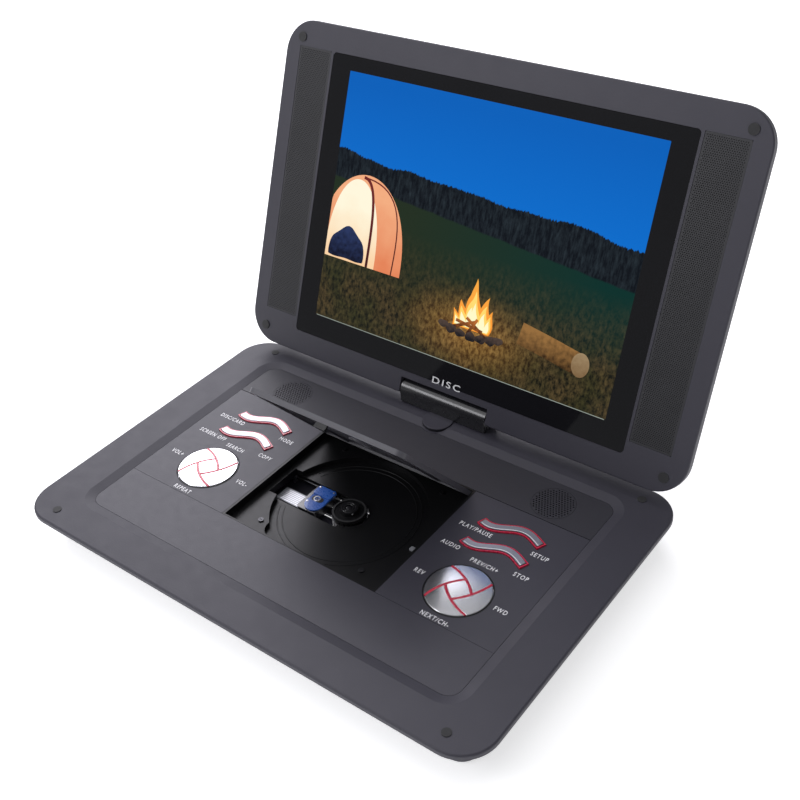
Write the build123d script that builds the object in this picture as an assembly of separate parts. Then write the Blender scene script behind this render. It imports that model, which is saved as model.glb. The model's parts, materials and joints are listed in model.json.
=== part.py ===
from build123d import *
import os
from math import cos, pi, radians, sin

# A portable disc player: a flat base with a top-loading disc well, a sprung key panel on each
# side of it, and a wide display on a central hinge that tilts and swivels.
# Millimetres. +X is the player's right, +Y its rear, +Z up. The feet stand on Z = 0.

# ---- driving dimensions -------------------------------------------------------------------
WIDTH = 427.0                # base and display, side to side
DEPTH = 280.0                # base, front to rear
CORNER_R = 27.5              # plan radius of the base and display corners
FRONT = -191.5               # Y of the base's front edge; the whole object is centred on Y = 0
FOOT_TOP = 3.0
LOWER_TOP = 20.0             # top of the upright lower walls
RIM_LOW = 27.0               # joint between the bottom and top case
PANEL_Z = 30.0               # surface of the sunk panels
RIM_TOP = 32.0               # surface of the broad border
WALL = 2.2
GAP = 0.25                   # seam beside each inserted panel

LOWER_SIDE_INSET = 16.0      # the lower walls stand well inside the rim
LOWER_FRONT_INSET = 16.0
LOWER_REAR_INSET = 5.0

RECESS_W = 346.5             # sunk area that holds the panels
RECESS_FRONT = FRONT + 36.5
RECESS_REAR = FRONT + 251.0
RECESS_R = 11.0
BEVEL = 8.0                  # sloping band around the sunk area
SUBDECK_Z = 28.4             # the panels lie on this surface

STRIP_REAR = FRONT + 82.7    # seam between the front strip and the control panels
WELL_HALF = 72.2             # half width inside the disc well
WELL_FRONT = FRONT + 84.2
WELL_REAR = FRONT + 208.0
TRAY_WALL = 1.3
TRAY_FLOOR = 23.5
DISC_FLOOR = 19.0
DISC_Y = FRONT + 145.0
DISC_RECESS_R = 61.5

DIAL_X = 122.0               # each key panel is centred here, left and right
DIAL_Y = FRONT + 116.2
DIAL_R = 24.0
DIAL_SQUARE_R = 10.5         # corner radius of the square centre key
DIAL_LINE = 1.3              # width of the lines that part the keys
WAVE_LENGTH = 51.3
WAVE_WIDTH = 8.0
WAVE_Y = (FRONT + 186.2, FRONT + 162.9)
WAVE_TOP = 31.0
KEY_TOP = 31.6
DOME_R = 330.0               # the round key sets are cut from a dome of this radius
KEY_LOW = 25.2
LIP_TOP = 28.1               # a lip under the panel keeps each key in
KEY_TRAVEL = 0.6
LIP_STEP = 1.4               # a petal's lip starts this far above its stem's foot
WAVE_SWING = 4.3             # half height of a wave key's centre line
WAVE_PHASE = 214.0
WAVE_SHIFT = 2.4             # brings the middle of the wave back onto its line
WAVE_LIP = 2.4               # how much wider than its cap a wave key's lip is

SPEAKER_X = 130.5
SPEAKER_Y = FRONT + 229.0
SPEAKER_R = 17.0
GRILLE_PITCH = 4.6

AXIS_Y = FRONT + 277.0       # tilt axis of the display
AXIS_Z = PANEL_Z + 12.5
OPEN_ANGLE = 111.5           # display angle from closed, as posed
HALF_THICK = 9.0             # display face and back, each side of the tilt axis
SCREEN_LOW = -4.0            # display edges, measured up the display from the tilt axis
SCREEN_HIGH = 276.5
SCREEN_SPLIT = 4.4           # seam between bezel and back cover, in front of the axis
BACK_INSET = 10.0            # the back cover narrows by this much all round
GLASS_SIZE = (324.0, 239.0, 3.0)
GLASS_MID = 135.5            # middles are measured up the display, too
PICTURE_MID = 141.3
MESH_X = 181.5
MESH_SIZE = (34.0, 228.0)
MESH_MID = 141.0
NOTCH_HALF = 43.0
NOTCH_TOP = 10.0
BARREL_HALF = 42.0
BARREL_R = 9.0
SHAFT_R = 2.5
KNUCKLE_R = 4.0              # tubes in the display that hold the shafts
RUNNING = 0.05               # radial clearance of a shaft that turns
SWIVEL_Y = FRONT + 263.0
SWIVEL_R = 12.5

DOOR_AXIS_Y = FRONT + 206.0
DOOR_THICK = 4.0
DOOR_AXIS_Z = PANEL_Z - DOOR_THICK / 2
DOOR_LENGTH = 121.4          # from the hinge axis to the free edge
DOOR_HALF = 71.7
DOOR_CORNER_R = 6.0
DOOR_ANGLE = 50.0            # as posed

LENS_X = -31.0               # pickup lens, as posed
PICKUP_Y = FRONT + 143.3
ROD_OFFSET = 19.0
ROD_R = 1.5
DRIVE_Z = 11.5               # height of the guide rods and lead screw
SCREW_OFFSET = 26.0
SPINDLE_HOLE_R = 15.2        # hole round the turntable, in the tray and the drive chassis
SLED_SLOT_HALF = 16.0        # half width of the slot that the pickup shows through
MOTOR_SHAFT_R = 1.2
PIN_R = 1.2                  # door hinge pins

BASE_MID = FRONT + DEPTH / 2
LOWER_SIZE = (
    WIDTH - 2 * LOWER_SIDE_INSET,
    DEPTH - LOWER_FRONT_INSET - LOWER_REAR_INSET,
    14.0,
)
LOWER_MID = BASE_MID + (LOWER_FRONT_INSET - LOWER_REAR_INSET) / 2
SIDE_WALL_X = LOWER_SIZE[0] / 2
JACK_Z = 11.6                # heights of the round sockets
DC_Z = 12.2
JACK_BORE_R = 1.8
DC_BORE_R = 2.9
SCREEN_MID = (SCREEN_LOW + SCREEN_HIGH) / 2
SCREEN_SIZE = (WIDTH, SCREEN_HIGH - SCREEN_LOW, CORNER_R)


# ---- small helpers ------------------------------------------------------------------------
def slab(size, y_mid, low, high):
    """An upright block with rounded corners; size is (width, depth, corner radius)."""
    return extrude(Pos(0, y_mid, low) * RectangleRounded(*size), amount=high - low)


def frustum(low_size, low_mid, high_size, high_mid, low, high):
    """A block whose rounded outline changes from one size to another."""
    bottom = Pos(0, low_mid, low) * RectangleRounded(*low_size)
    top = Pos(0, high_mid, high) * RectangleRounded(*high_size)
    return loft([bottom, top])


def block(x_range, y_range, z_range):
    """A box given by its low and high coordinates."""
    sizes = [b - a for a, b in (x_range, y_range, z_range)]
    middles = [(a + b) / 2 for a, b in (x_range, y_range, z_range)]
    return Pos(*middles) * Box(*sizes)


def post(x, y, radius, low, high):
    """An upright cylinder."""
    return Pos(x, y, (low + high) / 2) * Cylinder(radius, high - low)


def rod(x_low, x_high, y, z, radius):
    """A cylinder lying along X."""
    return Pos((x_low + x_high) / 2, y, z) * Rot(0, 90, 0) * Cylinder(radius, x_high - x_low)


def shrunk(size, amount):
    """A rounded outline made smaller by the same amount all round."""
    return (size[0] - 2 * amount, size[1] - 2 * amount, max(size[2] - amount, 1.0))


# ---- places that several pieces share -----------------------------------------------------
OUTLINE = (WIDTH, DEPTH, CORNER_R)
RECESS_SIZE = (RECESS_W, RECESS_REAR - RECESS_FRONT, RECESS_R)
RECESS_MID = (RECESS_FRONT + RECESS_REAR) / 2
CASE_SCREWS = [(x, y) for x in (-186, 186) for y in (LOWER_MID - 116, LOWER_MID + 112)]
FEET = [(x, y) for x in (-168, 168) for y in (LOWER_MID - 108, LOWER_MID + 106)]
TRAY_SCREWS = [(x, DISC_Y + 4 + dy) for x in (-49, 49) for dy in (-50.5, 50.5)]
BOARD_POSTS = [(x, FRONT + y) for x in (-178, -92, 90, 176) for y in (96, 196)]
SCREEN_SCREWS = [(x, y) for x in (-170, 170) for y in (30, 245)] + [(-60, 30), (60, 30)]
PORT_Y = {"headphone": 60, "av": 76, "usb": 130, "card": 166, "dc": 186, "switch": 150}


def port_y(name):
    return FRONT + PORT_Y[name]


# ---- base: cases and panels ---------------------------------------------------------------
def bottom_case():
    upper = shrunk(OUTLINE, 1.0)
    shell = slab(LOWER_SIZE, LOWER_MID, FOOT_TOP, LOWER_TOP)
    shell += frustum(LOWER_SIZE, LOWER_MID, upper, BASE_MID, LOWER_TOP, RIM_LOW)
    inner_size = shrunk(LOWER_SIZE, WALL)
    rise = 2.4
    hollow = slab(inner_size, LOWER_MID, FOOT_TOP + WALL, LOWER_TOP + rise)
    inner_top = shrunk(upper, WALL)
    hollow += frustum(
        inner_size, LOWER_MID, inner_top, BASE_MID, LOWER_TOP + rise, RIM_LOW + rise
    )
    shell -= hollow
    for x, y in CASE_SCREWS:
        shell += post(x, y, 5.0, FOOT_TOP + WALL, 14.0)
        shell -= post(x, y, 3.0, FOOT_TOP - 1, 8.0)
        shell -= post(x, y, 1.7, FOOT_TOP, 15.0)
    for x, y in BOARD_POSTS:
        shell += post(x, y, 3.0, FOOT_TOP + WALL, 7.0)
    return shell - port_cutouts() - cooling_slots()


def port_cutouts():
    """Everything that passes through the upright side walls."""
    right = (SIDE_WALL_X - 4, SIDE_WALL_X + 2)
    left = (-SIDE_WALL_X - 2, -SIDE_WALL_X + 4)
    cuts = [rod(*right, port_y(name), JACK_Z, 3.4) for name in ("headphone", "av")]
    cuts.append(block(right, (port_y("usb") - 7.2, port_y("usb") + 7.2), (9.2, 16.4)))
    cuts.append(block(right, (port_y("card") - 13.4, port_y("card") + 13.4), (9.2, 13.6)))
    cuts.append(rod(*left, port_y("dc"), DC_Z, 4.2))
    cuts.append(block(left, (port_y("switch") - 8, port_y("switch") + 8), (10.0, 14.4)))
    return cuts


def cooling_slots():
    """Rows of slots through the floor, under the disc drive."""
    slots = []
    for row in range(7):
        slots.append(block((-30, 30), (DISC_Y - 31 + row * 10, DISC_Y - 28.4 + row * 10), (2, 6)))
    return slots


def top_case():
    ring = slab(OUTLINE, BASE_MID, RIM_LOW, RIM_TOP)
    ring = fillet(ring.edges().group_by(Axis.Z)[-1], 1.6)
    ring = chamfer(ring.edges().group_by(Axis.Z)[0], 0.8)
    flange_hollow = slab(shrunk(OUTLINE, 3.0), BASE_MID, RIM_LOW - 1, RIM_TOP - 2.4)
    flange_hollow -= slab(shrunk(RECESS_SIZE, -11.0), RECESS_MID, RIM_LOW - 2, RIM_TOP)
    bevel = frustum(
        RECESS_SIZE, RECESS_MID, shrunk(RECESS_SIZE, -BEVEL), RECESS_MID, PANEL_Z, RIM_TOP + 0.001
    )
    case = ring - flange_hollow - bevel
    case -= slab(RECESS_SIZE, RECESS_MID, SUBDECK_Z, PANEL_Z + 0.5)
    case += post(0, SWIVEL_Y, 14.4, RIM_LOW, PANEL_Z)
    case += post(0, SWIVEL_Y, 10.4, 24.0, RIM_LOW)
    case -= post(0, SWIVEL_Y, SWIVEL_R + 0.6, PANEL_Z, RIM_TOP + 1)
    case -= post(0, SWIVEL_Y, 8.0, 20.0, PANEL_Z + 1)
    for x, y in CASE_SCREWS:
        case += post(x, y, 4.0, 14.0, RIM_TOP - 2.2)
        case -= post(x, y, 1.25, 13.0, 24.0)
    case -= block(
        (-WELL_HALF - 2.0, WELL_HALF + 2.0), (WELL_FRONT - 1.5, WELL_REAR + 1.6), (20, PANEL_Z + 1)
    )
    for side in (-1, 1):
        case -= post(side * SPEAKER_X, SPEAKER_Y, SPEAKER_R + 1.2, 20, SUBDECK_Z + 1)
        case -= post(side * DIAL_X, DIAL_Y, DIAL_R + 2.0, 20, SUBDECK_Z + 1)
        for y in WAVE_Y:
            case -= wave_solid(side * DIAL_X, y, WAVE_WIDTH + 4.0, WAVE_LENGTH + 4, 20, SUBDECK_Z + 1)
    return case


def recess_panel(y_low, y_high, x_low, x_high):
    """A flat panel that fills one part of the sunk area."""
    sheet = slab(shrunk(RECESS_SIZE, GAP), RECESS_MID, SUBDECK_Z, PANEL_Z)
    return sheet & block((x_low, x_high), (y_low, y_high), (SUBDECK_Z - 1, PANEL_Z + 1))


def front_strip():
    return recess_panel(RECESS_FRONT - 1, STRIP_REAR, -WIDTH / 2, WIDTH / 2)


def control_panel(side):
    inner = WELL_HALF + 2.2
    x_low, x_high = sorted((side * inner, side * WIDTH / 2))
    panel = recess_panel(STRIP_REAR + GAP, WELL_REAR + 1.0, x_low, x_high)
    panel -= post(side * DIAL_X, DIAL_Y, DIAL_R + 0.4, SUBDECK_Z - 1, PANEL_Z + 1)
    for y in WAVE_Y:
        hole = WAVE_WIDTH + 0.7
        panel -= wave_solid(side * DIAL_X, y, hole, WAVE_LENGTH + 0.7, SUBDECK_Z - 1, PANEL_Z + 1)
    return panel


def speaker_deck():
    deck = recess_panel(WELL_REAR + 1.6, RECESS_REAR + 1, -WIDTH / 2, WIDTH / 2)
    deck -= post(0, SWIVEL_Y, 14.7, SUBDECK_Z - 1, PANEL_Z + 1)
    for side in (-1, 1):
        deck -= post(side * SPEAKER_X, SPEAKER_Y, SPEAKER_R + 0.2, SUBDECK_Z - 1, PANEL_Z + 1)
    return deck


def speaker_grilles():
    """Two round grilles, each pierced by rings of holes."""
    grilles = []
    for side in (-1, 1):
        disc = post(side * SPEAKER_X, SPEAKER_Y, SPEAKER_R, SUBDECK_Z, PANEL_Z)
        holes = []
        for ring in range(1, 4):
            count = 6 * ring
            for i in range(count):
                angle = 2 * pi * i / count
                hole_x = side * SPEAKER_X + GRILLE_PITCH * ring * cos(angle)
                hole_y = SPEAKER_Y + GRILLE_PITCH * ring * sin(angle)
                holes.append(post(hole_x, hole_y, 1.0, SUBDECK_Z - 1, PANEL_Z + 1))
        grilles.append(disc - holes)
    return grilles


def disc_tray():
    y_low = WELL_FRONT - TRAY_WALL
    y_high = WELL_REAR + TRAY_WALL
    outer_half = WELL_HALF + 2.0
    tray = block((-outer_half, outer_half), (y_low, y_high), (DISC_FLOOR - 1.8, PANEL_Z))
    tray -= block((-WELL_HALF, WELL_HALF), (WELL_FRONT, WELL_REAR), (TRAY_FLOOR, PANEL_Z + 1))
    tray -= post(0, DISC_Y, DISC_RECESS_R, DISC_FLOOR, PANEL_Z)
    notch_angle = radians(236)
    notch_x = (DISC_RECESS_R - 6) * cos(notch_angle)
    notch_y = DISC_Y + (DISC_RECESS_R - 6) * sin(notch_angle)
    tray -= post(notch_x, notch_y, 11.0, DISC_FLOOR + 1, PANEL_Z)
    tray -= post(0, DISC_Y, SPINDLE_HOLE_R, 15, PANEL_Z)
    slot = (PICKUP_Y - SLED_SLOT_HALF, PICKUP_Y + SLED_SLOT_HALF)
    tray -= block((-67, 0), slot, (15, PANEL_Z))
    tray -= block((-8, 8), (WELL_FRONT + 0.6, WELL_FRONT + 7), (20.5, PANEL_Z))
    tray -= rod(-outer_half - 1, outer_half + 1, DOOR_AXIS_Y, DOOR_AXIS_Z, PIN_R + RUNNING)
    for x, y in TRAY_SCREWS:
        tray -= post(x, y, 1.1, 16, TRAY_FLOOR + 1)
    return tray


def screws():
    """Case screws from below, and the pan-head screws that show in the disc well."""
    pieces = []
    for x, y in CASE_SCREWS:
        head = post(x, y, 2.7, 5.6, 8.0) - post(x, y, 1.1, 5.0, 6.8)
        pieces.append(head + post(x, y, 1.2, 8.0, 22.0))
    for x, y in TRAY_SCREWS:
        head = post(x, y, 2.2, TRAY_FLOOR, TRAY_FLOOR + 1.0)
        cross = block((x - 1.2, x + 1.2), (y - 0.3, y + 0.3), (TRAY_FLOOR + 0.5, TRAY_FLOOR + 2))
        pieces.append(head - cross + post(x, y, 1.05, 17.5, TRAY_FLOOR))
    return pieces


def rubber_feet():
    return [fillet(post(x, y, 7.0, 0, FOOT_TOP).edges().group_by(Axis.Z)[0], 0.8) for x, y in FEET]


def base_corner_plugs():
    """Small rubber stops set in the border, one near each corner."""
    plugs = []
    for x in (-184.2, 184.2):
        for y in (FRONT + 13.8, FRONT + DEPTH - 13.8):
            plugs.append(post(x, y, 3.4, RIM_TOP, RIM_TOP + 0.5))
    return plugs


# ---- base: what is inside -----------------------------------------------------------------
def speakers():
    """Two round drivers below the grilles: magnet, basket and dished cone."""
    pieces = []
    for side in (-1, 1):
        with BuildPart() as driver:
            with BuildSketch(Plane.XZ):
                with BuildLine():
                    Polyline(
                        (0, 14.0), (9.0, 14.0), (9.0, 19.0), (16.0, 24.5), (18.0, 24.5),
                        (18.0, 26.8), (14.0, 26.4), (6.0, 22.5), (0, 23.5), (0, 14.0),
                    )
                make_face()
            revolve(axis=Axis.Z)
        pieces.append(Pos(side * SPEAKER_X, SPEAKER_Y, 0) * driver.part)
    return pieces


def circuit_boards():
    """Main board on the right and power board on the left, with their larger components."""
    main = block((82, 186), (FRONT + 50, FRONT + 204), (7.0, 8.6))
    main += block((100, 122), (FRONT + 130, FRONT + 152), (8.6, 10.2))
    main += block((128, 142), (FRONT + 96, FRONT + 110), (8.6, 10.0))
    main += post(150, FRONT + 150, 5.0, 8.6, 18.0)
    power = block((-186, -84), (FRONT + 88, FRONT + 204), (7.0, 8.6))
    power += block((-150, -132), (FRONT + 150, FRONT + 168), (8.6, 18.0))
    for i in range(3):
        power += post(-120 + 12 * i, FRONT + 110, 4.0, 8.6, 17.0)
    return [main, power]


def key_boards():
    """One board under each key panel, with a switch dome below every key."""
    boards = []
    for side in (-1, 1):
        x_low, x_high = sorted((side * 84.0, side * 166.0))
        board = block((x_low, x_high), (FRONT + 88, FRONT + 198), (21.4, 22.8))
        places = [(side * DIAL_X, DIAL_Y)]
        for quarter in range(4):
            angle = radians(3 + 90 * quarter)
            places.append((side * DIAL_X + 18 * cos(angle), DIAL_Y + 18 * sin(angle)))
        for y in WAVE_Y:
            places.append((side * DIAL_X - 16, y))
            places.append((side * DIAL_X + 16, y))
        for x, y in places:
            board += post(x, y, 2.4, 22.8, KEY_LOW - KEY_TRAVEL - 0.2)
        boards.append(board)
    return boards


def battery_pack():
    pack = block((-150, 60), (FRONT + 22, FRONT + 76), (6.0, 18.0))
    return fillet(pack.edges().filter_by(Axis.X), 3.0)


def jack(name, z, side, bore, half):
    """A round socket in a moulded block, facing out of one side wall."""
    y = port_y(name)
    inside = side * (SIDE_WALL_X - 14)
    outside = side * (SIDE_WALL_X - WALL)
    body = block(sorted((inside, outside)), (y - half, y + half), (z - 3.0, z + half))
    collar_end = side * SIDE_WALL_X
    body += rod(*sorted((outside - side * 0.5, collar_end)), y, z, bore + 1.2)
    return body - rod(*sorted((inside + side * 2, collar_end + side)), y, z, bore)


def audio_jacks():
    return [jack(name, JACK_Z, 1, JACK_BORE_R, 3.6) for name in ("headphone", "av")]


def dc_jack():
    socket = jack("dc", DC_Z, -1, DC_BORE_R, 4.6)
    return socket + rod(-SIDE_WALL_X + 1, -SIDE_WALL_X + 12.5, port_y("dc"), DC_Z, 1.0)


def usb_port():
    y = port_y("usb")
    x_range = (SIDE_WALL_X - 16, SIDE_WALL_X - 0.4)
    shell = block(x_range, (y - 7.0, y + 7.0), (9.4, 16.2))
    shell -= block((x_range[0] + 1, x_range[1] + 1), (y - 6.4, y + 6.4), (10.0, 15.6))
    return shell + block((x_range[0] + 1, x_range[1] - 1.5), (y - 5.4, y + 5.4), (14.2, 15.6))


def card_slot():
    y = port_y("card")
    x_range = (SIDE_WALL_X - 26, SIDE_WALL_X - 0.4)
    shell = block(x_range, (y - 13.2, y + 13.2), (9.4, 13.4))
    return shell - block((x_range[0] + 1, x_range[1] + 1), (y - 12.3, y + 12.3), (10.0, 12.8))


def power_switch():
    """Sliding knob; its foot runs inside the wall."""
    y = port_y("switch") - 2.5
    foot = block((-SIDE_WALL_X + WALL + 0.4, -SIDE_WALL_X + 6.0), (y - 5, y + 5), (9.6, 14.8))
    knob = block((-SIDE_WALL_X - 1.4, -SIDE_WALL_X + 3), (y - 4.2, y + 4.2), (10.6, 13.8))
    for i in range(3):
        knob -= rod(-SIDE_WALL_X - 1.7, -SIDE_WALL_X - 1.0, y - 2 + 2 * i, 12.2, 0.45)
    return foot + knob


# ---- disc drive ---------------------------------------------------------------------------
ROD_ENDS = (-71.0, -15.5)


def drive_chassis():
    low, high = 15.4, 16.8
    plate = block((-72, 62), (DISC_Y - 44, DISC_Y + 44), (low, high))
    plate -= post(0, DISC_Y, SPINDLE_HOLE_R, 10, 20)
    plate -= block((-68.5, 0), (PICKUP_Y - 23, PICKUP_Y + 23), (10, 20))
    plate -= block((-14, 4), (PICKUP_Y - 33, PICKUP_Y - 20), (10, 20))
    for offset in (-ROD_OFFSET, ROD_OFFSET):
        y = PICKUP_Y + offset
        lug = block((-72, -69), (y - 4.5, y + 4.5), (DRIVE_Z - 3, low + 0.1))
        plate += lug - rod(-73, -68, y, DRIVE_Z, ROD_R)
        plate += block((-72, -68.4), (y - 4.5, y + 4.5), (low, high))
    return plate


def guide_rods():
    return [rod(*ROD_ENDS, PICKUP_Y + side * ROD_OFFSET, DRIVE_Z, ROD_R) for side in (-1, 1)]


def spindle_motor():
    motor = post(0, DISC_Y, 14.0, 7.0, 17.5)
    return motor - post(0, DISC_Y, MOTOR_SHAFT_R + RUNNING, 6.0, 19.0)


def turntable():
    """Platform ring, hub that the disc snaps over, and the motor shaft below them."""
    spinner = post(0, DISC_Y, 13.5, 19.6, 22.3) - post(0, DISC_Y, 11.5, 21.7, 23)
    spinner += post(0, DISC_Y, 7.4, 21.0, 25.3)
    spinner += post(0, DISC_Y, MOTOR_SHAFT_R, 8.0, 20.0)
    return spinner - post(0, DISC_Y, 2.6, 24.3, 26)


def sled_motor():
    y = PICKUP_Y - SCREW_OFFSET
    motor = rod(-12, 2, y, DRIVE_Z, 4.5)
    return motor - rod(-13, -3, y, DRIVE_Z, 0.8 + RUNNING)


def lead_screw():
    y = PICKUP_Y - SCREW_OFFSET
    screw = rod(-66, -13, y, DRIVE_Z, 1.1) + rod(-13, -4, y, DRIVE_Z, 0.8)
    for i in range(17):
        screw += rod(-65 + 3 * i, -63.8 + 3 * i, y, DRIVE_Z, 1.5)
    return screw


def pickup_sled():
    """Carriage on the two guide rods, with the raised housing that carries the lens."""
    x_range = (LENS_X - 9.5, LENS_X + 7.5)
    sled = block(x_range, (PICKUP_Y - 22, PICKUP_Y + 22), (9.0, 14.4))
    housing = block((LENS_X - 10, LENS_X + 8), (PICKUP_Y - 14, PICKUP_Y + 14), (14.0, 19.4))
    sled += fillet(housing.edges().filter_by(Axis.Z), 2.0)
    for side in (-1, 1):
        sled -= rod(-60, 0, PICKUP_Y + side * ROD_OFFSET, DRIVE_Z, ROD_R + RUNNING)
    arm = block((LENS_X - 4, LENS_X + 2), (PICKUP_Y - 26, PICKUP_Y - 21), (13.3, 14.4))
    sled += arm
    return sled - post(LENS_X, PICKUP_Y, 3.0, 17.0, 22)


def pickup_lens():
    lens = post(LENS_X, PICKUP_Y, 2.9, 17.0, 19.8)
    return lens + Pos(LENS_X, PICKUP_Y, 18.95) * Sphere(1.9)


def pickup_flex():
    """Flat cable carrier that trails behind the pickup and slides under the tray."""
    return block((LENS_X - 34, LENS_X - 10), (PICKUP_Y - 12, PICKUP_Y + 2), (14.5, 15.1))


# ---- disc door ----------------------------------------------------------------------------
def place_door(shape):
    """Swing a shape, drawn about the hinge axis with the door shut, to the open pose."""
    return Pos(0, DOOR_AXIS_Y, DOOR_AXIS_Z) * Rot(-DOOR_ANGLE, 0, 0) * shape


def disc_door():
    half = DOOR_THICK / 2
    door = block((-DOOR_HALF, DOOR_HALF), (-DOOR_LENGTH, 0), (-half, half))
    front_edges = door.edges().filter_by(Axis.Z).group_by(Axis.Y)[0]
    door = fillet(front_edges, DOOR_CORNER_R)
    door -= block((-DOOR_HALF + 4, DOOR_HALF - 4), (-DOOR_LENGTH + 4, -8), (-half - 1, 0))
    door += rod(-DOOR_HALF, DOOR_HALF, 0, 0, half)
    clamp_y = DISC_Y - DOOR_AXIS_Y
    door += post(0, clamp_y, 10.0, -1.6, 0) - post(0, clamp_y, 8.2, -3, -0.4)
    for x in (-45, 45):
        door += block((x - 0.8, x + 0.8), (-DOOR_LENGTH + 4, -8), (-half + 0.4, 0))
    door -= rod(-DOOR_HALF - 1, -DOOR_HALF + 8, 0, 0, PIN_R)
    door -= rod(DOOR_HALF - 8, DOOR_HALF + 1, 0, 0, PIN_R)
    return place_door(door)


def door_hinge_pins():
    outer = WELL_HALF + 1.9
    pins = [rod(-outer, -DOOR_HALF + 8, 0, 0, PIN_R), rod(DOOR_HALF - 8, outer, 0, 0, PIN_R)]
    return [place_door(pin) for pin in pins]


def door_latch():
    tip = -DOOR_LENGTH + 2.0
    hook = block((-5, 5), (tip, tip + 2.0), (-6.2, -2.0))
    hook += block((-5, 5), (tip - 0.9, tip + 2.0), (-6.2, -5.0))
    return place_door(hook)


# ---- keys ---------------------------------------------------------------------------------
def polar(radius, degrees):
    return (radius * cos(radians(degrees)), radius * sin(radians(degrees)))


def dial_line(quarter):
    """One curved line of the pinwheel: rim, past one corner of the square, to the next."""
    turn = 90 * quarter
    start = polar(DIAL_R + 3, 50.5 + turn)
    middle = polar(DIAL_SQUARE_R, 4.5 + turn)
    end = polar(DIAL_SQUARE_R, -85.5 + turn)
    return trace(ThreePointArc(start, middle, end), DIAL_LINE)


def dial_faces():
    """The five key outlines in order: the square centre, then the petals by angle."""
    disc = Circle(DIAL_R)
    for quarter in range(4):
        disc -= dial_line(quarter)
    centre = []
    petals = []
    for face in disc.faces():
        middle = face.center()
        if middle.X ** 2 + middle.Y ** 2 < 9:
            centre.append(face)
        else:
            petals.append(face)
    petals.sort(key=lambda face: Vector(face.center().X, face.center().Y, 0).get_signed_angle(
        Vector(1, 0, 0), Vector(0, 0, 1)))
    return centre + petals


def dial_key(side, face):
    """A key cap cut from one shallow dome, with its stem; petals also have a lip under the panel."""
    dome_centre = KEY_TOP - LIP_TOP - DOME_R
    cap = extrude(face, amount=KEY_TOP - LIP_TOP) & Pos(0, 0, dome_centre) * Sphere(DOME_R)
    cap = chamfer(cap.edges().filter_by(lambda edge: edge.center().Z > 1.5), 0.4)
    stem = extrude(face, amount=LIP_TOP - KEY_LOW)
    ring = Circle(DIAL_R + 1.3) - Circle(DIAL_R - 1.5)
    lip = extrude(ring, amount=LIP_TOP - KEY_LOW - LIP_STEP)
    middle = face.center()
    key = Pos(0, 0, LIP_TOP) * cap + Pos(0, 0, KEY_LOW) * stem
    if middle.X ** 2 + middle.Y ** 2 > 9:
        reach = extrude(wedge(face), amount=LIP_TOP - KEY_LOW - LIP_STEP)
        key += Pos(0, 0, KEY_LOW + LIP_STEP) * (lip & reach)
    return Pos(side * DIAL_X, DIAL_Y, 0) * key


def wedge(face):
    """A sector just inside a petal's outer arc, used to trim its lip."""
    middle = face.center()
    rim = [v for v in face.vertices() if Vector(v.X, v.Y, 0).length > DIAL_R - 0.2]
    ends = [Vector(v.X, v.Y, 0).normalized() * (DIAL_R + 12) for v in rim]
    tip = Vector(middle.X, middle.Y, 0).normalized() * (DIAL_R + 12)
    inset = [end + (tip - end).normalized() * 2.2 for end in ends]
    return make_face(Polyline((0, 0), inset[0], tip, inset[1], (0, 0)))


def wave_point(t):
    """Centre line of a wave key: t runs from 0 at its left end to 1 at its right end."""
    y = WAVE_SWING * sin(2 * pi * t + radians(WAVE_PHASE)) + WAVE_SHIFT
    return (WAVE_LENGTH * (t - 0.5), y)


def wave_solid(x, y, width, length, low, high):
    """The S-shaped bar, as a solid between two heights."""
    stretch = length / WAVE_LENGTH
    upper = []
    lower = []
    steps = 10
    for i in range(steps + 1):
        t = 0.5 + (i / steps - 0.5) * stretch
        px, py = wave_point(t)
        ahead = wave_point(t + 0.001)
        along = Vector(ahead[0] - px, ahead[1] - py, 0).normalized()
        across = Vector(-along.Y, along.X, 0) * (width / 2)
        upper.append((px + across.X, py + across.Y))
        lower.append((px - across.X, py - across.Y))
    edge_up = Spline(*upper)
    edge_down = Spline(*lower)
    ends = [Line(upper[0], lower[0]), Line(upper[-1], lower[-1])]
    outline = make_face(Curve() + [edge_up, edge_down] + ends)
    return Pos(x, y - WAVE_SHIFT, low) * extrude(outline, amount=high - low)


def wave_key(side, y):
    cap = wave_solid(side * DIAL_X, y, WAVE_WIDTH, WAVE_LENGTH, LIP_TOP, WAVE_TOP)
    lip_size = (WAVE_WIDTH + WAVE_LIP, WAVE_LENGTH + WAVE_LIP)
    lip = wave_solid(side * DIAL_X, y, *lip_size, KEY_LOW, LIP_TOP)
    return cap + lip


# ---- hinge --------------------------------------------------------------------------------
def swivel_block():
    """Turning foot, upright web and hinge barrel in one casting."""
    foot = post(0, SWIVEL_Y, SWIVEL_R, PANEL_Z + 0.3, RIM_TOP + 1.0)
    web_depth = (AXIS_Y - BARREL_R, AXIS_Y + 8.0)
    web = block((-BARREL_HALF, BARREL_HALF), web_depth, (RIM_TOP + 0.4, AXIS_Z))
    web = chamfer(web.edges().group_by(Axis.Z)[0].filter_by(Axis.X), 0.8)
    barrel = rod(-BARREL_HALF, BARREL_HALF, AXIS_Y, AXIS_Z, BARREL_R)
    casting = foot + web + barrel
    casting -= rod(-BARREL_HALF - 1, BARREL_HALF + 1, AXIS_Y, AXIS_Z, SHAFT_R + RUNNING)
    return casting - post(0, SWIVEL_Y, 6.0, PANEL_Z, RIM_TOP + 0.2)


def swivel_tube():
    return post(0, SWIVEL_Y, 6.0, 16.5, RIM_TOP + 0.2) - post(0, SWIVEL_Y, 4.2, 16, RIM_TOP + 1)


def swivel_bushing():
    return post(0, SWIVEL_Y, 8.0, 20.0, PANEL_Z - 0.1) - post(0, SWIVEL_Y, 6.0 + RUNNING, 19, PANEL_Z)


def swivel_clip():
    return post(0, SWIVEL_Y, 8.0, 18.0, 19.5) - post(0, SWIVEL_Y, 6.0, 17, 20)


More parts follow.
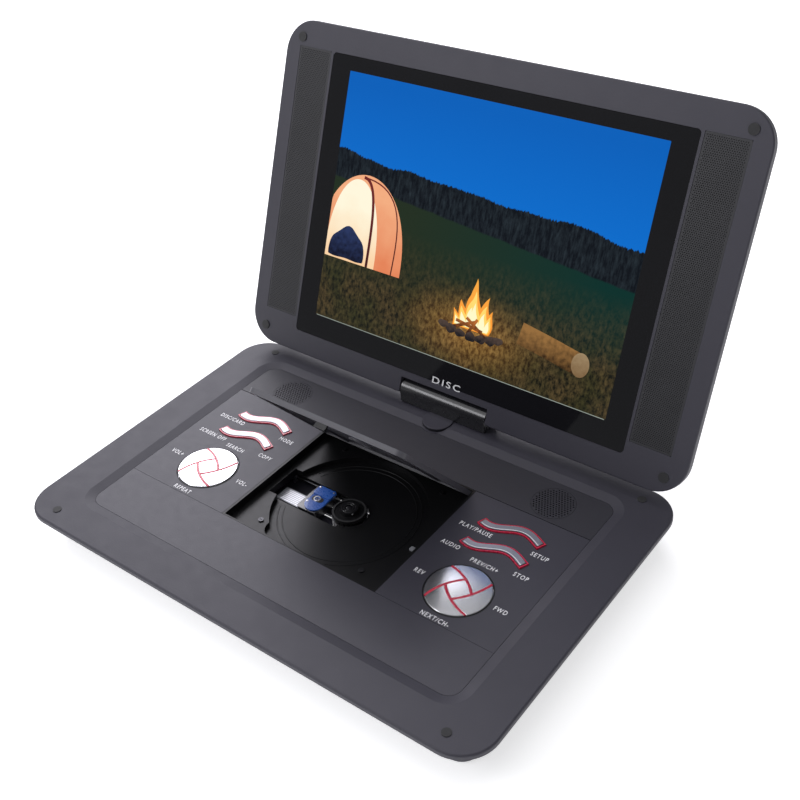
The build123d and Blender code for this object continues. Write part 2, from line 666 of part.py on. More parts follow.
# ---- display: drawn flat about the tilt axis, +Y up the display, +Z out of its face ---------


def place_screen(shape):
    return Pos(0, AXIS_Y, AXIS_Z) * Rot(180 - OPEN_ANGLE, 0, 0) * shape


def hinge_notch(grow):
    return block(
        (-NOTCH_HALF - grow, NOTCH_HALF + grow),
        (SCREEN_LOW - 20, NOTCH_TOP + grow),
        (-HALF_THICK - 5, HALF_THICK + 5),
    )


def screen_front_bezel():
    bezel = slab(SCREEN_SIZE, SCREEN_MID, SCREEN_SPLIT + 0.1, HALF_THICK)
    bezel = fillet(bezel.edges().group_by(Axis.Z)[-1], 1.2)
    hollow = slab(shrunk(SCREEN_SIZE, 1.4), SCREEN_MID, SCREEN_SPLIT - 1, HALF_THICK - 2)
    bezel -= hinge_notch(0)
    bezel -= hollow - hinge_notch(2)
    bezel -= slab((GLASS_SIZE[0] + 0.4, GLASS_SIZE[1] + 0.4, 3.2), GLASS_MID, 0, HALF_THICK + 1)
    for side in (-1, 1):
        bezel -= Pos(side * MESH_X, MESH_MID, HALF_THICK) * Box(MESH_SIZE[0], MESH_SIZE[1], 2.2)
    return place_screen(bezel)


def screen_back_cover():
    inset_size = shrunk(SCREEN_SIZE, BACK_INSET)
    shoulder = 1.6
    cover = slab(shrunk(SCREEN_SIZE, 0.3), SCREEN_MID, shoulder, SCREEN_SPLIT)
    cover += frustum(inset_size, SCREEN_MID, shrunk(SCREEN_SIZE, 0.3), SCREEN_MID, -HALF_THICK, shoulder)
    cover = fillet(cover.edges().group_by(Axis.Z)[0], 2.5)
    hollow = slab(shrunk(SCREEN_SIZE, 1.7), SCREEN_MID, shoulder, SCREEN_SPLIT + 1)
    hollow += frustum(
        shrunk(SCREEN_SIZE, BACK_INSET + 1.2), SCREEN_MID, shrunk(SCREEN_SIZE, 1.7), SCREEN_MID,
        -HALF_THICK + 1.8, shoulder,
    )
    cover -= hinge_notch(0)
    cover -= hollow - hinge_notch(2)
    for side in (-1, 1):
        cover += rod(*sorted((side * NOTCH_HALF, side * 65.0)), 0, 0, KNUCKLE_R)
        cover -= block(sorted((side * 47.8, side * 62.2)), (0, 34.2), (-2.4, -0.4))
        cover -= rod(*sorted((side * 40.0, side * 62.2)), 0, 0, SHAFT_R + 0.1)
    for x, y in SCREEN_SCREWS:
        cover -= post(x, y, 1.3, -HALF_THICK - 1, -5)
        cover -= post(x, y, 2.6, -HALF_THICK - 1, -HALF_THICK + 0.9)
    return place_screen(cover)


def screen_screws():
    pieces = []
    for x, y in SCREEN_SCREWS:
        head = post(x, y, 2.4, -HALF_THICK + 0.2, -HALF_THICK + 0.9)
        pieces.append(place_screen(head + post(x, y, 1.2, -HALF_THICK + 0.9, -4.5)))
    return pieces


def display_glass():
    return place_screen(slab(GLASS_SIZE, GLASS_MID, 7.2, HALF_THICK - 0.2))


def lcd_panel():
    return place_screen(slab((296, 216, 1.5), PICTURE_MID, 3.6, 7.0))


def backlight():
    return place_screen(slab((298, 218, 1.5), PICTURE_MID, 0.8, 3.4))


def mesh_strips():
    strips = []
    for side in (-1, 1):
        sheet = Box(MESH_SIZE[0] - 0.3, MESH_SIZE[1] - 0.3, 0.9)
        strips.append(place_screen(Pos(side * MESH_X, MESH_MID, HALF_THICK - 0.65) * sheet))
    return strips


def screen_bumpers():
    """Soft stops at the display's corners; they keep it off the base when it is shut."""
    stops = []
    for x in (-197.0, 197.0):
        for y in (10.0, 262.0):
            stops.append(place_screen(post(x, y, 4.0, HALF_THICK, HALF_THICK + 0.9)))
    return stops


def screen_board():
    board = block((-130, 130), (46, 72), (-5.0, -3.4))
    board += block((-20, 20), (50, 66), (-3.4, -1.6))
    for i in range(4):
        board += block((60 + 14 * i, 68 + 14 * i), (54, 64), (-3.4, -0.6))
    return place_screen(board)


def hinge_brackets():
    """Friction shafts fixed in the display, each forged with its flat screw-down leaf."""
    pieces = []
    for side in (-1, 1):
        shaft = rod(*sorted((side * 10.0, side * 62.0)), 0, 0, SHAFT_R)
        leaf = block(sorted((side * 48.0, side * 62.0)), (0, 34), (-2.2, -0.6))
        leaf -= post(side * 55, 12, 1.6, -4, 1)
        leaf -= post(side * 55, 27, 1.6, -4, 1)
        pieces.append(place_screen(shaft + leaf))
    return pieces


# ---- all the pieces -----------------------------------------------------------------------
def all_pieces():
    pieces = {
        "bottom_case": bottom_case(),
        "top_case": top_case(),
        "front_strip": front_strip(),
        "left_control_panel": control_panel(-1),
        "right_control_panel": control_panel(1),
        "speaker_deck": speaker_deck(),
        "speaker_grilles": speaker_grilles(),
        "disc_tray": disc_tray(),
        "screws": screws(),
        "rubber_feet": rubber_feet(),
        "base_corner_plugs": base_corner_plugs(),
        "speakers": speakers(),
        "circuit_boards": circuit_boards(),
        "key_boards": key_boards(),
        "battery_pack": battery_pack(),
        "audio_jacks": audio_jacks(),
        "dc_jack": dc_jack(),
        "usb_port": usb_port(),
        "card_slot": card_slot(),
        "power_switch": power_switch(),
        "drive_chassis": drive_chassis(),
        "guide_rods": guide_rods(),
        "spindle_motor": spindle_motor(),
        "turntable": turntable(),
        "sled_motor": sled_motor(),
        "lead_screw": lead_screw(),
        "pickup_sled": pickup_sled(),
        "pickup_lens": pickup_lens(),
        "pickup_flex": pickup_flex(),
        "disc_door": disc_door(),
        "door_hinge_pins": door_hinge_pins(),
        "door_latch": door_latch(),
        "swivel_block": swivel_block(),
        "swivel_tube": swivel_tube(),
        "swivel_bushing": swivel_bushing(),
        "swivel_clip": swivel_clip(),
        "screen_front_bezel": screen_front_bezel(),
        "screen_back_cover": screen_back_cover(),
        "screen_screws": screen_screws(),
        "display_glass": display_glass(),
        "lcd_panel": lcd_panel(),
        "backlight": backlight(),
        "mesh_strips": mesh_strips(),
        "screen_bumpers": screen_bumpers(),
        "screen_board": screen_board(),
        "hinge_brackets": hinge_brackets(),
    }
    for side, name in ((-1, "left"), (1, "right")):
        labels = ("centre", "key_a", "key_b", "key_c", "key_d")
        for label, face in zip(labels, dial_faces()):
            pieces[f"{name}_dial_{label}"] = dial_key(side, face)
        pieces[f"{name}_wave_key_rear"] = wave_key(side, WAVE_Y[0])
        pieces[f"{name}_wave_key_front"] = wave_key(side, WAVE_Y[1])
    return pieces


def export_all():
    os.makedirs("parts", exist_ok=True)
    for name, piece in all_pieces().items():
        solids = piece if isinstance(piece, list) else [piece]
        shape = Compound(solids) if len(solids) > 1 else solids[0]
        export_step(shape, f"parts/{name}.step")


export_all()
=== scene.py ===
import json
from math import atan2, ceil, cos, hypot, pi, radians, sin, sqrt

import bmesh
import bpy
from mathutils import Matrix, Vector
from mathutils.geometry import delaunay_2d_cdt


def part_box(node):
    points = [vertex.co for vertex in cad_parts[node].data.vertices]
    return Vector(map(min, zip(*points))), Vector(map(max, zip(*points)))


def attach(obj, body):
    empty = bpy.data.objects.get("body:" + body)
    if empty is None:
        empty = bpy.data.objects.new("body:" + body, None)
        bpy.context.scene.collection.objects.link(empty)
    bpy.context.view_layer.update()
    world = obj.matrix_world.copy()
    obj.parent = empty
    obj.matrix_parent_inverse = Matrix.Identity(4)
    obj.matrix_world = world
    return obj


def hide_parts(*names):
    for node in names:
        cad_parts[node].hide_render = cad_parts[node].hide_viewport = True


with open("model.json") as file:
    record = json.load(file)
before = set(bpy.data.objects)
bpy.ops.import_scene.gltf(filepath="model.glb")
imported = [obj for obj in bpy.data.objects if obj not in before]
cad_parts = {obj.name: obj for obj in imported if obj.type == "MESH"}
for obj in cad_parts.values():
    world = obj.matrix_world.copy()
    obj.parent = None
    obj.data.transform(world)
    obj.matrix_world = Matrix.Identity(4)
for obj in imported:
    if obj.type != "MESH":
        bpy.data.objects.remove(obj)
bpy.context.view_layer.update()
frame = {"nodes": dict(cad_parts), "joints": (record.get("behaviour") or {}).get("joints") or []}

# Looks for a portable disc player: camera, studio, materials and the fine pieces on top of the
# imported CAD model. Lengths are metres; MM turns millimetres into metres.
MM = 0.001

# ---- places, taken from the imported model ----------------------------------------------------
JOINTS = {joint["name"]: joint for joint in frame["joints"]}
TILT = JOINTS["screen_tilt"]
OPEN_ANGLE = -TILT["range_deg"][0]
SCREEN_PLACE = Matrix.Translation(TILT["pos_m"]) @ Matrix.Rotation(radians(180 - OPEN_ANGLE), 4, "X")


def middle(node):
    """The centre of a CAD node's box."""
    low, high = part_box(node)
    return (low + high) / 2


PANEL_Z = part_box("front_strip")[1].z
DIALS = {side: middle(f"{side}_dial_centre") for side in ("left", "right")}
WAVES = {
    f"{side}_wave_key_{row}": middle(f"{side}_wave_key_{row}")
    for side in ("left", "right")
    for row in ("rear", "front")
}
DISC = middle("turntable")
LENS = middle("pickup_lens")

# ---- driving sizes of the added pieces ------------------------------------------------------
DIAL_R = 24.0 * MM           # rim of the round keys
DIAL_SQUARE_R = 10.5 * MM    # corners of the square centre key
DIAL_LINE = 1.24 * MM        # red line in the gap between two keys
DIAL_FLARE = 0.32 * MM       # how far it reaches over the chamfer on each side
DIAL_LINE_PROUD = 0.18 * MM
LINE_START = 50.5            # degrees: where the first line between the round keys leaves the rim
LINE_CORNER = 4.5            # and the first corner of the square centre key that it passes
DOME_R = 330.0 * MM          # the round keys are cut from a dome of this radius
KEY_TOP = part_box("left_dial_centre")[1].z
WAVE_LENGTH = 51.3 * MM      # S-shaped keys
WAVE_WIDTH = 8.0 * MM
WAVE_SWING = 4.3 * MM        # half height of their middle line
WAVE_PHASE = radians(214.0)
WAVE_RIM = 1.4 * MM          # red rim left round the silver face
WAVE_SEAM = 0.9 * MM         # dark seam inside the rim, both sides together
WAVE_GLINT_WIDTH = 0.55 * MM        # width of the painted highlight along the front of the face, a white strip standing in for the glint on the silver bevel
CAP_SHARE = 0.7              # height of a capital letter as a share of the font size
SPEAKER_R = 17.0 * MM
GRILLE_PITCH = 2.45 * MM
GRILLE_HOLE_R = 0.72 * MM
GRILLE_REACH = 15.6 * MM     # the holes stop this far from the middle
MESH_WIDTH = 33.6 * MM
MESH_PLATE = 0.45 * MM
MESH_PITCH = 1.7 * MM
MESH_HOLE_R = 0.5 * MM
PICTURE_W = 285.0 * MM
PICTURE_H = 207.0 * MM
PICTURE_Y = 139.8 * MM       # middle of the picture, measured up the display from its axis


# ---- studio ---------------------------------------------------------------------------------
CAMERA_PLACE = Vector((453.70, -520.40, 608.26)) * MM
CAMERA_AZIMUTH = radians(39.77)
CAMERA_ELEVATION = radians(36.53)
CAMERA_ROLL = radians(4.56)
CAMERA_LENS = 51.33
# name, place, target, size, watts, colour
SOFTBOXES = (
    ("rear_softbox", (-1.3, 0.95, 1.15), (-0.15, 0, 0), (1.5, 0.9), 24, (0.95, 0.93, 1.0)),
    ("top_softbox", (-0.4, -0.2, 2.2), (0, 0, 0), (2.4, 2.4), 16, (0.98, 0.97, 1.0)),
    ("front_softbox", (-1.3, -1.5, 1.45), (0, 0.1, 0.2), (1.2, 0.8), 16, (0.96, 0.96, 1.0)),
)


def make_camera():
    data = bpy.data.cameras.new("camera")
    data.lens = CAMERA_LENS
    data.sensor_width = 36.0
    data.clip_start = 0.01
    data.clip_end = 20.0
    camera = bpy.data.objects.new("camera", data)
    bpy.context.scene.collection.objects.link(camera)
    azimuth, elevation, roll = CAMERA_AZIMUTH, CAMERA_ELEVATION, CAMERA_ROLL
    right = Vector((cos(azimuth), sin(azimuth), 0))
    ahead = Vector(
        (-sin(azimuth) * cos(elevation), cos(azimuth) * cos(elevation), -sin(elevation))
    )
    down = ahead.cross(right)
    x_axis = right * cos(roll) + down * sin(roll)
    y_axis = right * sin(roll) - down * cos(roll)
    turn = Matrix((x_axis, y_axis, -ahead)).transposed().to_4x4()
    camera.matrix_world = Matrix.Translation(CAMERA_PLACE) @ turn
    bpy.context.scene.camera = camera


def area_light(name, place, target, size, power, colour):
    data = bpy.data.lights.new(name, "AREA")
    data.shape = "RECTANGLE"
    data.size, data.size_y = size
    data.energy = power
    data.color = colour
    light = bpy.data.objects.new(name, data)
    bpy.context.scene.collection.objects.link(light)
    light.location = place
    light.rotation_mode = "QUATERNION"
    light.rotation_quaternion = (Vector(target) - Vector(place)).to_track_quat("-Z", "Y")


def make_studio():
    scene = bpy.context.scene
    scene.view_settings.view_transform = "Standard"
    world = bpy.data.worlds.new("world")
    scene.world = world
    world.use_nodes = True
    background = world.node_tree.nodes["Background"]
    background.inputs["Color"].default_value = (0.97, 0.98, 1.0, 1.0)
    background.inputs["Strength"].default_value = 0.34
    for name, place, target, size, power, colour in SOFTBOXES:
        area_light(name, place, target, size, power, colour)


def make_floor():
    bm = bmesh.new()
    bmesh.ops.create_grid(bm, x_segments=8, y_segments=8, size=6.0)
    mesh = bpy.data.meshes.new("floor")
    bm.to_mesh(mesh)
    bm.free()
    floor = bpy.data.objects.new("floor", mesh)
    bpy.context.scene.collection.objects.link(floor)
    mesh.materials.append(
        surface(
            "floor_paper", ((0.88, 0.88, 0.89), (0.92, 0.92, 0.93)), 3, (0.75, 0.85), [],
            Emission_Color=(1.0, 1.0, 1.0, 1.0), Emission_Strength=0.6,
        )
    )


# ---- materials ------------------------------------------------------------------------------
class Graph:
    """A material's node tree, written as plain calls. Numbers go on sockets, sockets are linked."""

    def __init__(self, name):
        self.material = bpy.data.materials.new(name)
        self.material.use_nodes = True
        self.nodes = self.material.node_tree.nodes
        self.shader = self.nodes["Principled BSDF"]
        self.coords = self.nodes.new("ShaderNodeTexCoord").outputs["Object"]

    def put(self, socket, value):
        if isinstance(value, bpy.types.NodeSocket):
            self.material.node_tree.links.new(value, socket)
        else:
            socket.default_value = value

    def add(self, kind, **inputs):
        node = self.nodes.new("ShaderNode" + kind)
        for socket, value in inputs.items():
            self.put(node.inputs[socket.replace("_", " ")], value)
        return node

    def math(self, operation, first, second=0.0, clamp=False):
        node = self.nodes.new("ShaderNodeMath")
        node.operation = operation
        node.use_clamp = clamp
        self.put(node.inputs[0], first)
        self.put(node.inputs[1], second)
        return node.outputs[0]

    def noise(self, vector, scale, detail=2.0, roughness=0.5):
        node = self.add("TexNoise", Vector=vector, Scale=scale, Detail=detail, Roughness=roughness)
        return node.outputs["Fac"]

    def mix(self, factor, first, second):
        """Between two colours, each a socket or three numbers."""
        node = self.nodes.new("ShaderNodeMix")
        node.data_type = "RGBA"
        self.put(node.inputs["Factor"], factor)
        for socket, value in (("A", first), ("B", second)):
            self.put(node.inputs[socket], value if not isinstance(value, tuple) else (*value, 1.0))
        return node.outputs["Result"]

    def span(self, value, low, high, to_low=0.0, to_high=1.0):
        """Where a value lies between low and high, as a clamped share or in a new range."""
        node = self.add("MapRange", Value=value)
        numbers = {"From Min": low, "From Max": high, "To Min": to_low, "To Max": to_high}
        for socket, number in numbers.items():
            self.put(node.inputs[socket], number)
        return node.outputs["Result"]

    def bump(self, height, depth, under=None):
        node = self.add("Bump", Height=height, Distance=depth)
        if under:
            self.put(node.inputs["Normal"], under)
        return node.outputs["Normal"]

    def finish(self, **sockets):
        for socket, value in sockets.items():
            self.put(self.shader.inputs[socket.replace("_", " ")], value)
        return self.material


def surface(name, colours, cloud, roughness, bumps, **constants):
    """A moulded or plated finish: a cloudy mix of two colours, uneven roughness and layered bump.
    cloud is the colour noise scale; bumps are (kind, scale, depth in metres)."""
    graph = Graph(name)
    colour = graph.mix(graph.noise(graph.coords, cloud, 4.0), *colours)
    gloss = graph.span(graph.noise(graph.coords, cloud * 6), 0.0, 1.0, *roughness)
    normal = None
    for kind, scale, depth in bumps:
        if kind == "cells":
            pattern = graph.add("TexVoronoi", Vector=graph.coords, Scale=scale)
            pattern.feature = "DISTANCE_TO_EDGE"
            height = pattern.outputs["Distance"]
        else:
            height = graph.noise(graph.coords, scale, 3.0)
        normal = graph.bump(height, depth, normal)
    if normal:
        constants["Normal"] = normal
    return graph.finish(Base_Color=colour, Roughness=gloss, **constants)


GREY = ((0.031, 0.0295, 0.042), (0.041, 0.039, 0.054))
DEEP_GREY = ((0.021, 0.020, 0.028), (0.029, 0.028, 0.038))
DOOR_GREY = ((0.062, 0.060, 0.072), (0.080, 0.078, 0.092))
BLACK = ((0.0045, 0.0045, 0.005), (0.008, 0.008, 0.009))


def make_materials():
    grain = [("noise", 900, 0.05 * MM), ("noise", 2600, 0.03 * MM)]
    return {
        "case": surface("case_grain", GREY, 18, (0.48, 0.58), grain, Specular_IOR_Level=0.5),
        "bezel": surface(
            "bezel_grain", GREY, 12, (0.42, 0.56),
            [("noise", 420, 0.07 * MM), ("noise", 2200, 0.03 * MM)], Specular_IOR_Level=0.5,
        ),
        "deck": surface(
            "deck_cells", DEEP_GREY, 20, (0.45, 0.55),
            [("cells", 420, 0.05 * MM), ("noise", 2600, 0.02 * MM)], Specular_IOR_Level=0.5,
        ),
        "panel": surface("panel_grain", GREY, 22, (0.42, 0.52), grain, Specular_IOR_Level=0.5),
        "door": surface("door_grain", DOOR_GREY, 22, (0.40, 0.50), grain, Specular_IOR_Level=0.5),
        "well": surface(
            "well_moulding", BLACK, 30, (0.32, 0.42), [("noise", 1800, 0.02 * MM)],
            Specular_IOR_Level=0.3,
        ),
        "gloss": surface(
            "window_gloss", ((0.003, 0.003, 0.004), (0.006, 0.006, 0.008)), 9, (0.05, 0.09),
            [("noise", 14, 0.02 * MM)], Specular_IOR_Level=0.35,
        ),
        "mesh": surface(
            "mesh_paint", ((0.018, 0.018, 0.021), (0.028, 0.028, 0.032)), 40, (0.45, 0.6),
            [("noise", 2400, 0.02 * MM)],
        ),
        "chrome": surface(
            "chrome_plate", ((0.56, 0.56, 0.58), (0.66, 0.66, 0.68)), 60, (0.20, 0.28),
            [("noise", 90, 0.03 * MM)], Metallic=1.0,
        ),
        "inlay": surface(
            "silver_inlay", ((0.36, 0.36, 0.39), (0.48, 0.48, 0.51)), 80, (0.30, 0.40),
            [("noise", 120, 0.03 * MM)], Metallic=1.0,
        ),
        "red": surface(
            "red_moulding", ((0.50, 0.012, 0.045), (0.62, 0.02, 0.06)), 70, (0.22, 0.34),
            [("noise", 1500, 0.01 * MM)], Coat_Weight=0.4,
        ),
        "rubber": surface(
            "soft_rubber", ((0.008, 0.008, 0.009), (0.014, 0.014, 0.016)), 90, (0.55, 0.75),
            [("noise", 1600, 0.04 * MM)], Sheen_Weight=0.2,
        ),
        "steel": surface(
            "brushed_steel", ((0.50, 0.50, 0.52), (0.62, 0.62, 0.64)), 50, (0.22, 0.36),
            [("noise", 1200, 0.02 * MM)], Metallic=1.0,
        ),
        "dark_steel": surface(
            "blackened_steel", ((0.05, 0.05, 0.055), (0.09, 0.09, 0.095)), 50, (0.30, 0.42),
            [("noise", 1200, 0.02 * MM)], Metallic=1.0,
        ),
        "cast": surface(
            "cast_paint", ((0.010, 0.010, 0.012), (0.017, 0.017, 0.020)), 35, (0.24, 0.32),
            [("noise", 1400, 0.02 * MM)], Coat_Weight=0.6, Coat_Roughness=0.16,
        ),
        "brass": surface(
            "turned_brass", ((0.60, 0.42, 0.16), (0.72, 0.52, 0.22)), 60, (0.2, 0.34),
            [("noise", 1500, 0.02 * MM)], Metallic=1.0,
        ),
        "foil": surface(
            "cell_foil", ((0.55, 0.56, 0.58), (0.70, 0.71, 0.73)), 30, (0.25, 0.4),
            [("noise", 60, 0.3 * MM)], Metallic=0.9,
        ),
        "board": surface(
            "solder_mask", ((0.008, 0.09, 0.03), (0.015, 0.14, 0.05)), 300, (0.25, 0.4),
            [("cells", 300, 0.05 * MM)],
        ),
        "blue": surface(
            "blue_moulding", ((0.015, 0.07, 0.33), (0.03, 0.13, 0.50)), 120, (0.22, 0.34),
            [("noise", 1200, 0.02 * MM)], Coat_Weight=0.3,
        ),
        "flex": surface(
            "silver_film", ((0.25, 0.255, 0.28), (0.36, 0.37, 0.40)), 260, (0.38, 0.52),
            [("noise", 700, 0.05 * MM)], Metallic=0.35,
        ),
        "lens": surface(
            "coated_glass", ((0.02, 0.03, 0.08), (0.05, 0.04, 0.10)), 500, (0.03, 0.06),
            [("noise", 200, 0.005 * MM)], Coat_Weight=1.0, IOR=1.6,
        ),
        "diffuser": surface(
            "diffuser_film", ((0.75, 0.76, 0.78), (0.82, 0.83, 0.85)), 40, (0.4, 0.6),
            [("noise", 900, 0.02 * MM)],
        ),
        # White print for the labels; the same white also paints the highlight strip along the wave
        # keys.
        "print_and_glint": surface(
            "white_print_and_painted_glint", ((0.80, 0.80, 0.82), (0.92, 0.92, 0.94)), 500, (0.4, 0.55),
            [("noise", 3000, 0.01 * MM)],
        ),
    }


NODE_FINISH = {
    "case": "bottom_case top_case power_switch screen_back_cover",
    "bezel": "screen_front_bezel",
    "deck": "speaker_deck",
    "panel": "front_strip left_control_panel right_control_panel",
    "door": "disc_door",
    "well": "disc_tray door_latch turntable audio_jacks dc_jack",
    "gloss": "display_glass lcd_panel",
    "rubber": "rubber_feet base_corner_plugs screen_bumpers",
    "steel": (
        "drive_chassis spindle_motor sled_motor lead_screw "
        "door_hinge_pins swivel_tube swivel_clip usb_port card_slot hinge_brackets"
    ),
    "dark_steel": "screws screen_screws guide_rods",
    "cast": "swivel_block speakers pickup_sled",
    "brass": "swivel_bushing",
    "foil": "battery_pack",
    "board": "circuit_boards key_boards screen_board",
    "flex": "pickup_flex",
    "lens": "pickup_lens",
    "diffuser": "backlight",
}


def dress_cad_nodes(materials):
    """Give every CAD node that stays in view its own finish."""
    finish_of = {node: finish for finish, names in NODE_FINISH.items() for node in names.split()}
    for name, node in frame["nodes"].items():
        if "_dial_" in name:
            finish = "chrome"
        elif "_wave_key_" in name:
            finish = "red"
        else:
            finish = finish_of.get(name, "case")
        node.data.materials.clear()
        node.data.materials.append(materials[finish])


# ---- mesh helpers ---------------------------------------------------------------------------
def piece(name, bm, material, body, place=None, sharp=35.0):
    """Turn a bmesh into a named piece that rides on a CAD body."""
    bmesh.ops.recalc_face_normals(bm, faces=bm.faces)
    big = [face for face in bm.faces if len(face.verts) > 4]
    bmesh.ops.triangulate(bm, faces=big)
    mesh = bpy.data.meshes.new(name)
    bm.to_mesh(mesh)
    bm.free()
    mesh.materials.append(material)
    mesh.polygons.foreach_set("use_smooth", [True] * len(mesh.polygons))
    mesh.set_sharp_from_angle(angle=radians(sharp))
    made = bpy.data.objects.new(name, mesh)
    bpy.context.scene.collection.objects.link(made)
    if place:
        made.matrix_world = place
    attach(made, body)
    return made


def add_prism(bm, outline, low, high, bevel=0.0, segments=2):
    """A closed plate between two heights; the edges of its top face are rounded."""
    bottom = [bm.verts.new((x, y, low)) for x, y in outline]
    top = [bm.verts.new((x, y, high)) for x, y in outline]
    count = len(outline)
    bm.faces.new(list(reversed(bottom)))
    cap = bm.faces.new(top)
    for i in range(count):
        j = (i + 1) % count
        bm.faces.new((bottom[i], bottom[j], top[j], top[i]))
    if bevel:
        bmesh.ops.bevel(
            bm, geom=list(cap.edges), offset=bevel, segments=segments, affect="EDGES",
            profile=0.6, clamp_overlap=True,
        )


def add_revolved(bm, profile, centre, steps=64, start=0.0, end=2 * pi):
    """A profile of (radius, height) points turned about the vertical through centre. The profile
    is closed; a part turn gets flat ends."""
    whole = abs(end - start - 2 * pi) < 1e-6
    count = steps if whole else steps + 1
    rings = []
    for i in range(count):
        angle = start + (end - start) * i / steps
        rings.append([
            bm.verts.new((centre[0] + r * cos(angle), centre[1] + r * sin(angle), z))
            for r, z in profile
        ])
    size = len(profile)
    for i in range(steps):
        a, b = rings[i], rings[(i + 1) % count]
        for k in range(size):
            n = (k + 1) % size
            bm.faces.new((a[k], b[k], b[n], a[n]))
    if not whole:
        bm.faces.new(rings[0])
        bm.faces.new(list(reversed(rings[-1])))


def profile_above(base, *points):
    """A profile for add_revolved: (radius, height above a base), both given in millimetres."""
    return [(radius * MM, base + height * MM) for radius, height in points]


def add_pierced(bm, outline, holes, hole_r, low, high, sides=10, turn=0.0):
    """A plate between two heights, pierced by round holes at the given centres."""
    points = [Vector(p) for p in outline]
    loops = [list(range(len(outline)))]
    for x, y in holes:
        first = len(points)
        for k in range(sides):
            angle = turn + 2 * pi * k / sides
            points.append(Vector((x + hole_r * cos(angle), y + hole_r * sin(angle))))
        loops.append(list(range(first, first + sides)))
    edges = [(loop[k], loop[(k + 1) % len(loop)]) for loop in loops for k in range(len(loop))]
    made = delaunay_2d_cdt(points, edges, [], 1, 1e-7)
    verts, faces = made[0], made[2]
    hole_of = {}
    for number, loop in enumerate(loops[1:]):
        for index in loop:
            hole_of[index] = number
    sources = made[3]
    tops = [bm.verts.new((v.x, v.y, high)) for v in verts]
    bottoms = [bm.verts.new((v.x, v.y, low)) for v in verts]
    owner = [{hole_of.get(s) for s in source} - {None} for source in sources]
    for face in faces:
        shared = set.intersection(*[owner[v] for v in face])
        if shared:
            continue
        bm.faces.new([tops[v] for v in face])
        bm.faces.new([bottoms[v] for v in reversed(face)])
    index_of = {s: v for v, source in enumerate(sources) for s in source}
    for loop in loops:
        for k in range(len(loop)):
            a = index_of[loop[k]]
            b = index_of[loop[(k + 1) % len(loop)]]
            bm.faces.new((tops[a], tops[b], bottoms[b], bottoms[a]))


def circle(x, y, radius, steps=48):
    return [
        (x + radius * cos(2 * pi * k / steps), y + radius * sin(2 * pi * k / steps))
        for k in range(steps)
    ]


def rounded(x, y, width, depth, radius, steps=6):
    """A rounded rectangle as a list of points."""
    points = []
    for corner, (sx, sy) in enumerate(((1, 1), (-1, 1), (-1, -1), (1, -1))):
        for k in range(steps + 1):
            angle = pi / 2 * (corner + k / steps)
            points.append((
                x + sx * (width / 2 - radius) + radius * cos(angle),
                y + sy * (depth / 2 - radius) + radius * sin(angle),
            ))
    return points


def ribbon_outline(points, width):
    """The outline of a band of even width along a line of points."""
    left, right = [], []
    for i, (x, y) in enumerate(points):
        before = Vector(points[max(i - 1, 0)])
        after = Vector(points[min(i + 1, len(points) - 1)])
        along = (after - before).normalized()
        across = Vector((-along.y, along.x)) * (width / 2)
        left.append((x + across.x, y + across.y))
        right.append((x - across.x, y - across.y))
    return left + right[::-1]


# ---- keys -----------------------------------------------------------------------------------
def polar(radius, degrees):
    return Vector((radius * cos(radians(degrees)), radius * sin(radians(degrees))))


def arc_through(start, mid, end, steps=28):
    """Points on the circle arc that passes through three points."""
    ax, ay = start
    bx, by = mid
    cx, cy = end
    d = 2 * (ax * (by - cy) + bx * (cy - ay) + cx * (ay - by))
    a2, b2, c2 = start.length_squared, mid.length_squared, end.length_squared
    ux = (a2 * (by - cy) + b2 * (cy - ay) + c2 * (ay - by)) / d
    uy = (a2 * (cx - bx) + b2 * (ax - cx) + c2 * (bx - ax)) / d
    centre = Vector((ux, uy))
    radius = (start - centre).length
    first = atan2(ay - uy, ax - ux)
    last = atan2(cy - uy, cx - ux)
    through = atan2(by - uy, bx - ux)
    turn = (last - first) % (2 * pi)
    if (through - first) % (2 * pi) > turn:
        turn -= 2 * pi
    angles = [first + turn * k / steps for k in range(steps + 1)]
    return [centre + radius * Vector((cos(a), sin(a))) for a in angles]


def dial_lines(materials):
    """The red lines that part the round keys, set in the gaps and following the dome."""
    for side, centre in DIALS.items():
        bm = bmesh.new()
        for quarter in range(4):
            turn = 90 * quarter
            path = arc_through(
                polar(DIAL_R + 3 * MM, LINE_START + turn),
                polar(DIAL_SQUARE_R, LINE_CORNER + turn),
                polar(DIAL_SQUARE_R, LINE_CORNER - 90 + turn),
            )
            inside = [p for p in path if p.length < DIAL_R - 0.1 * MM]
            add_domed_band(bm, inside, centre)
        piece(f"{side}_dial_lines", bm, materials["red"], "base")


def dome_height(radius):
    return KEY_TOP - DOME_R + sqrt(DOME_R ** 2 - radius ** 2)


def add_domed_band(bm, path, centre):
    """One line: a band that fills the gap and flares over the chamfers of the keys beside it."""
    half, flare = DIAL_LINE / 2, DIAL_LINE / 2 + DIAL_FLARE
    low = PANEL_Z - 3.2 * MM
    rings = []
    for i, point in enumerate(path):
        before, after = path[max(i - 1, 0)], path[min(i + 1, len(path) - 1)]
        along = (after - before).normalized()
        across = Vector((-along.y, along.x))
        top = dome_height(point.length) + DIAL_LINE_PROUD
        brim, neck = top - 0.20 * MM, top - 0.58 * MM
        section = [(-half, low), (-half, neck), (-flare, brim), (-half, top),
                   (half, top), (flare, brim), (half, neck), (half, low)]
        rings.append([
            bm.verts.new((
                centre.x + point.x + across.x * s, centre.y + point.y + across.y * s, z
            ))
            for s, z in section
        ])
    for a, b in zip(rings, rings[1:]):
        for k in range(len(a)):
            n = (k + 1) % len(a)
            bm.faces.new((a[k], a[n], b[n], b[k]))
    bm.faces.new(rings[0][::-1])
    bm.faces.new(rings[-1])


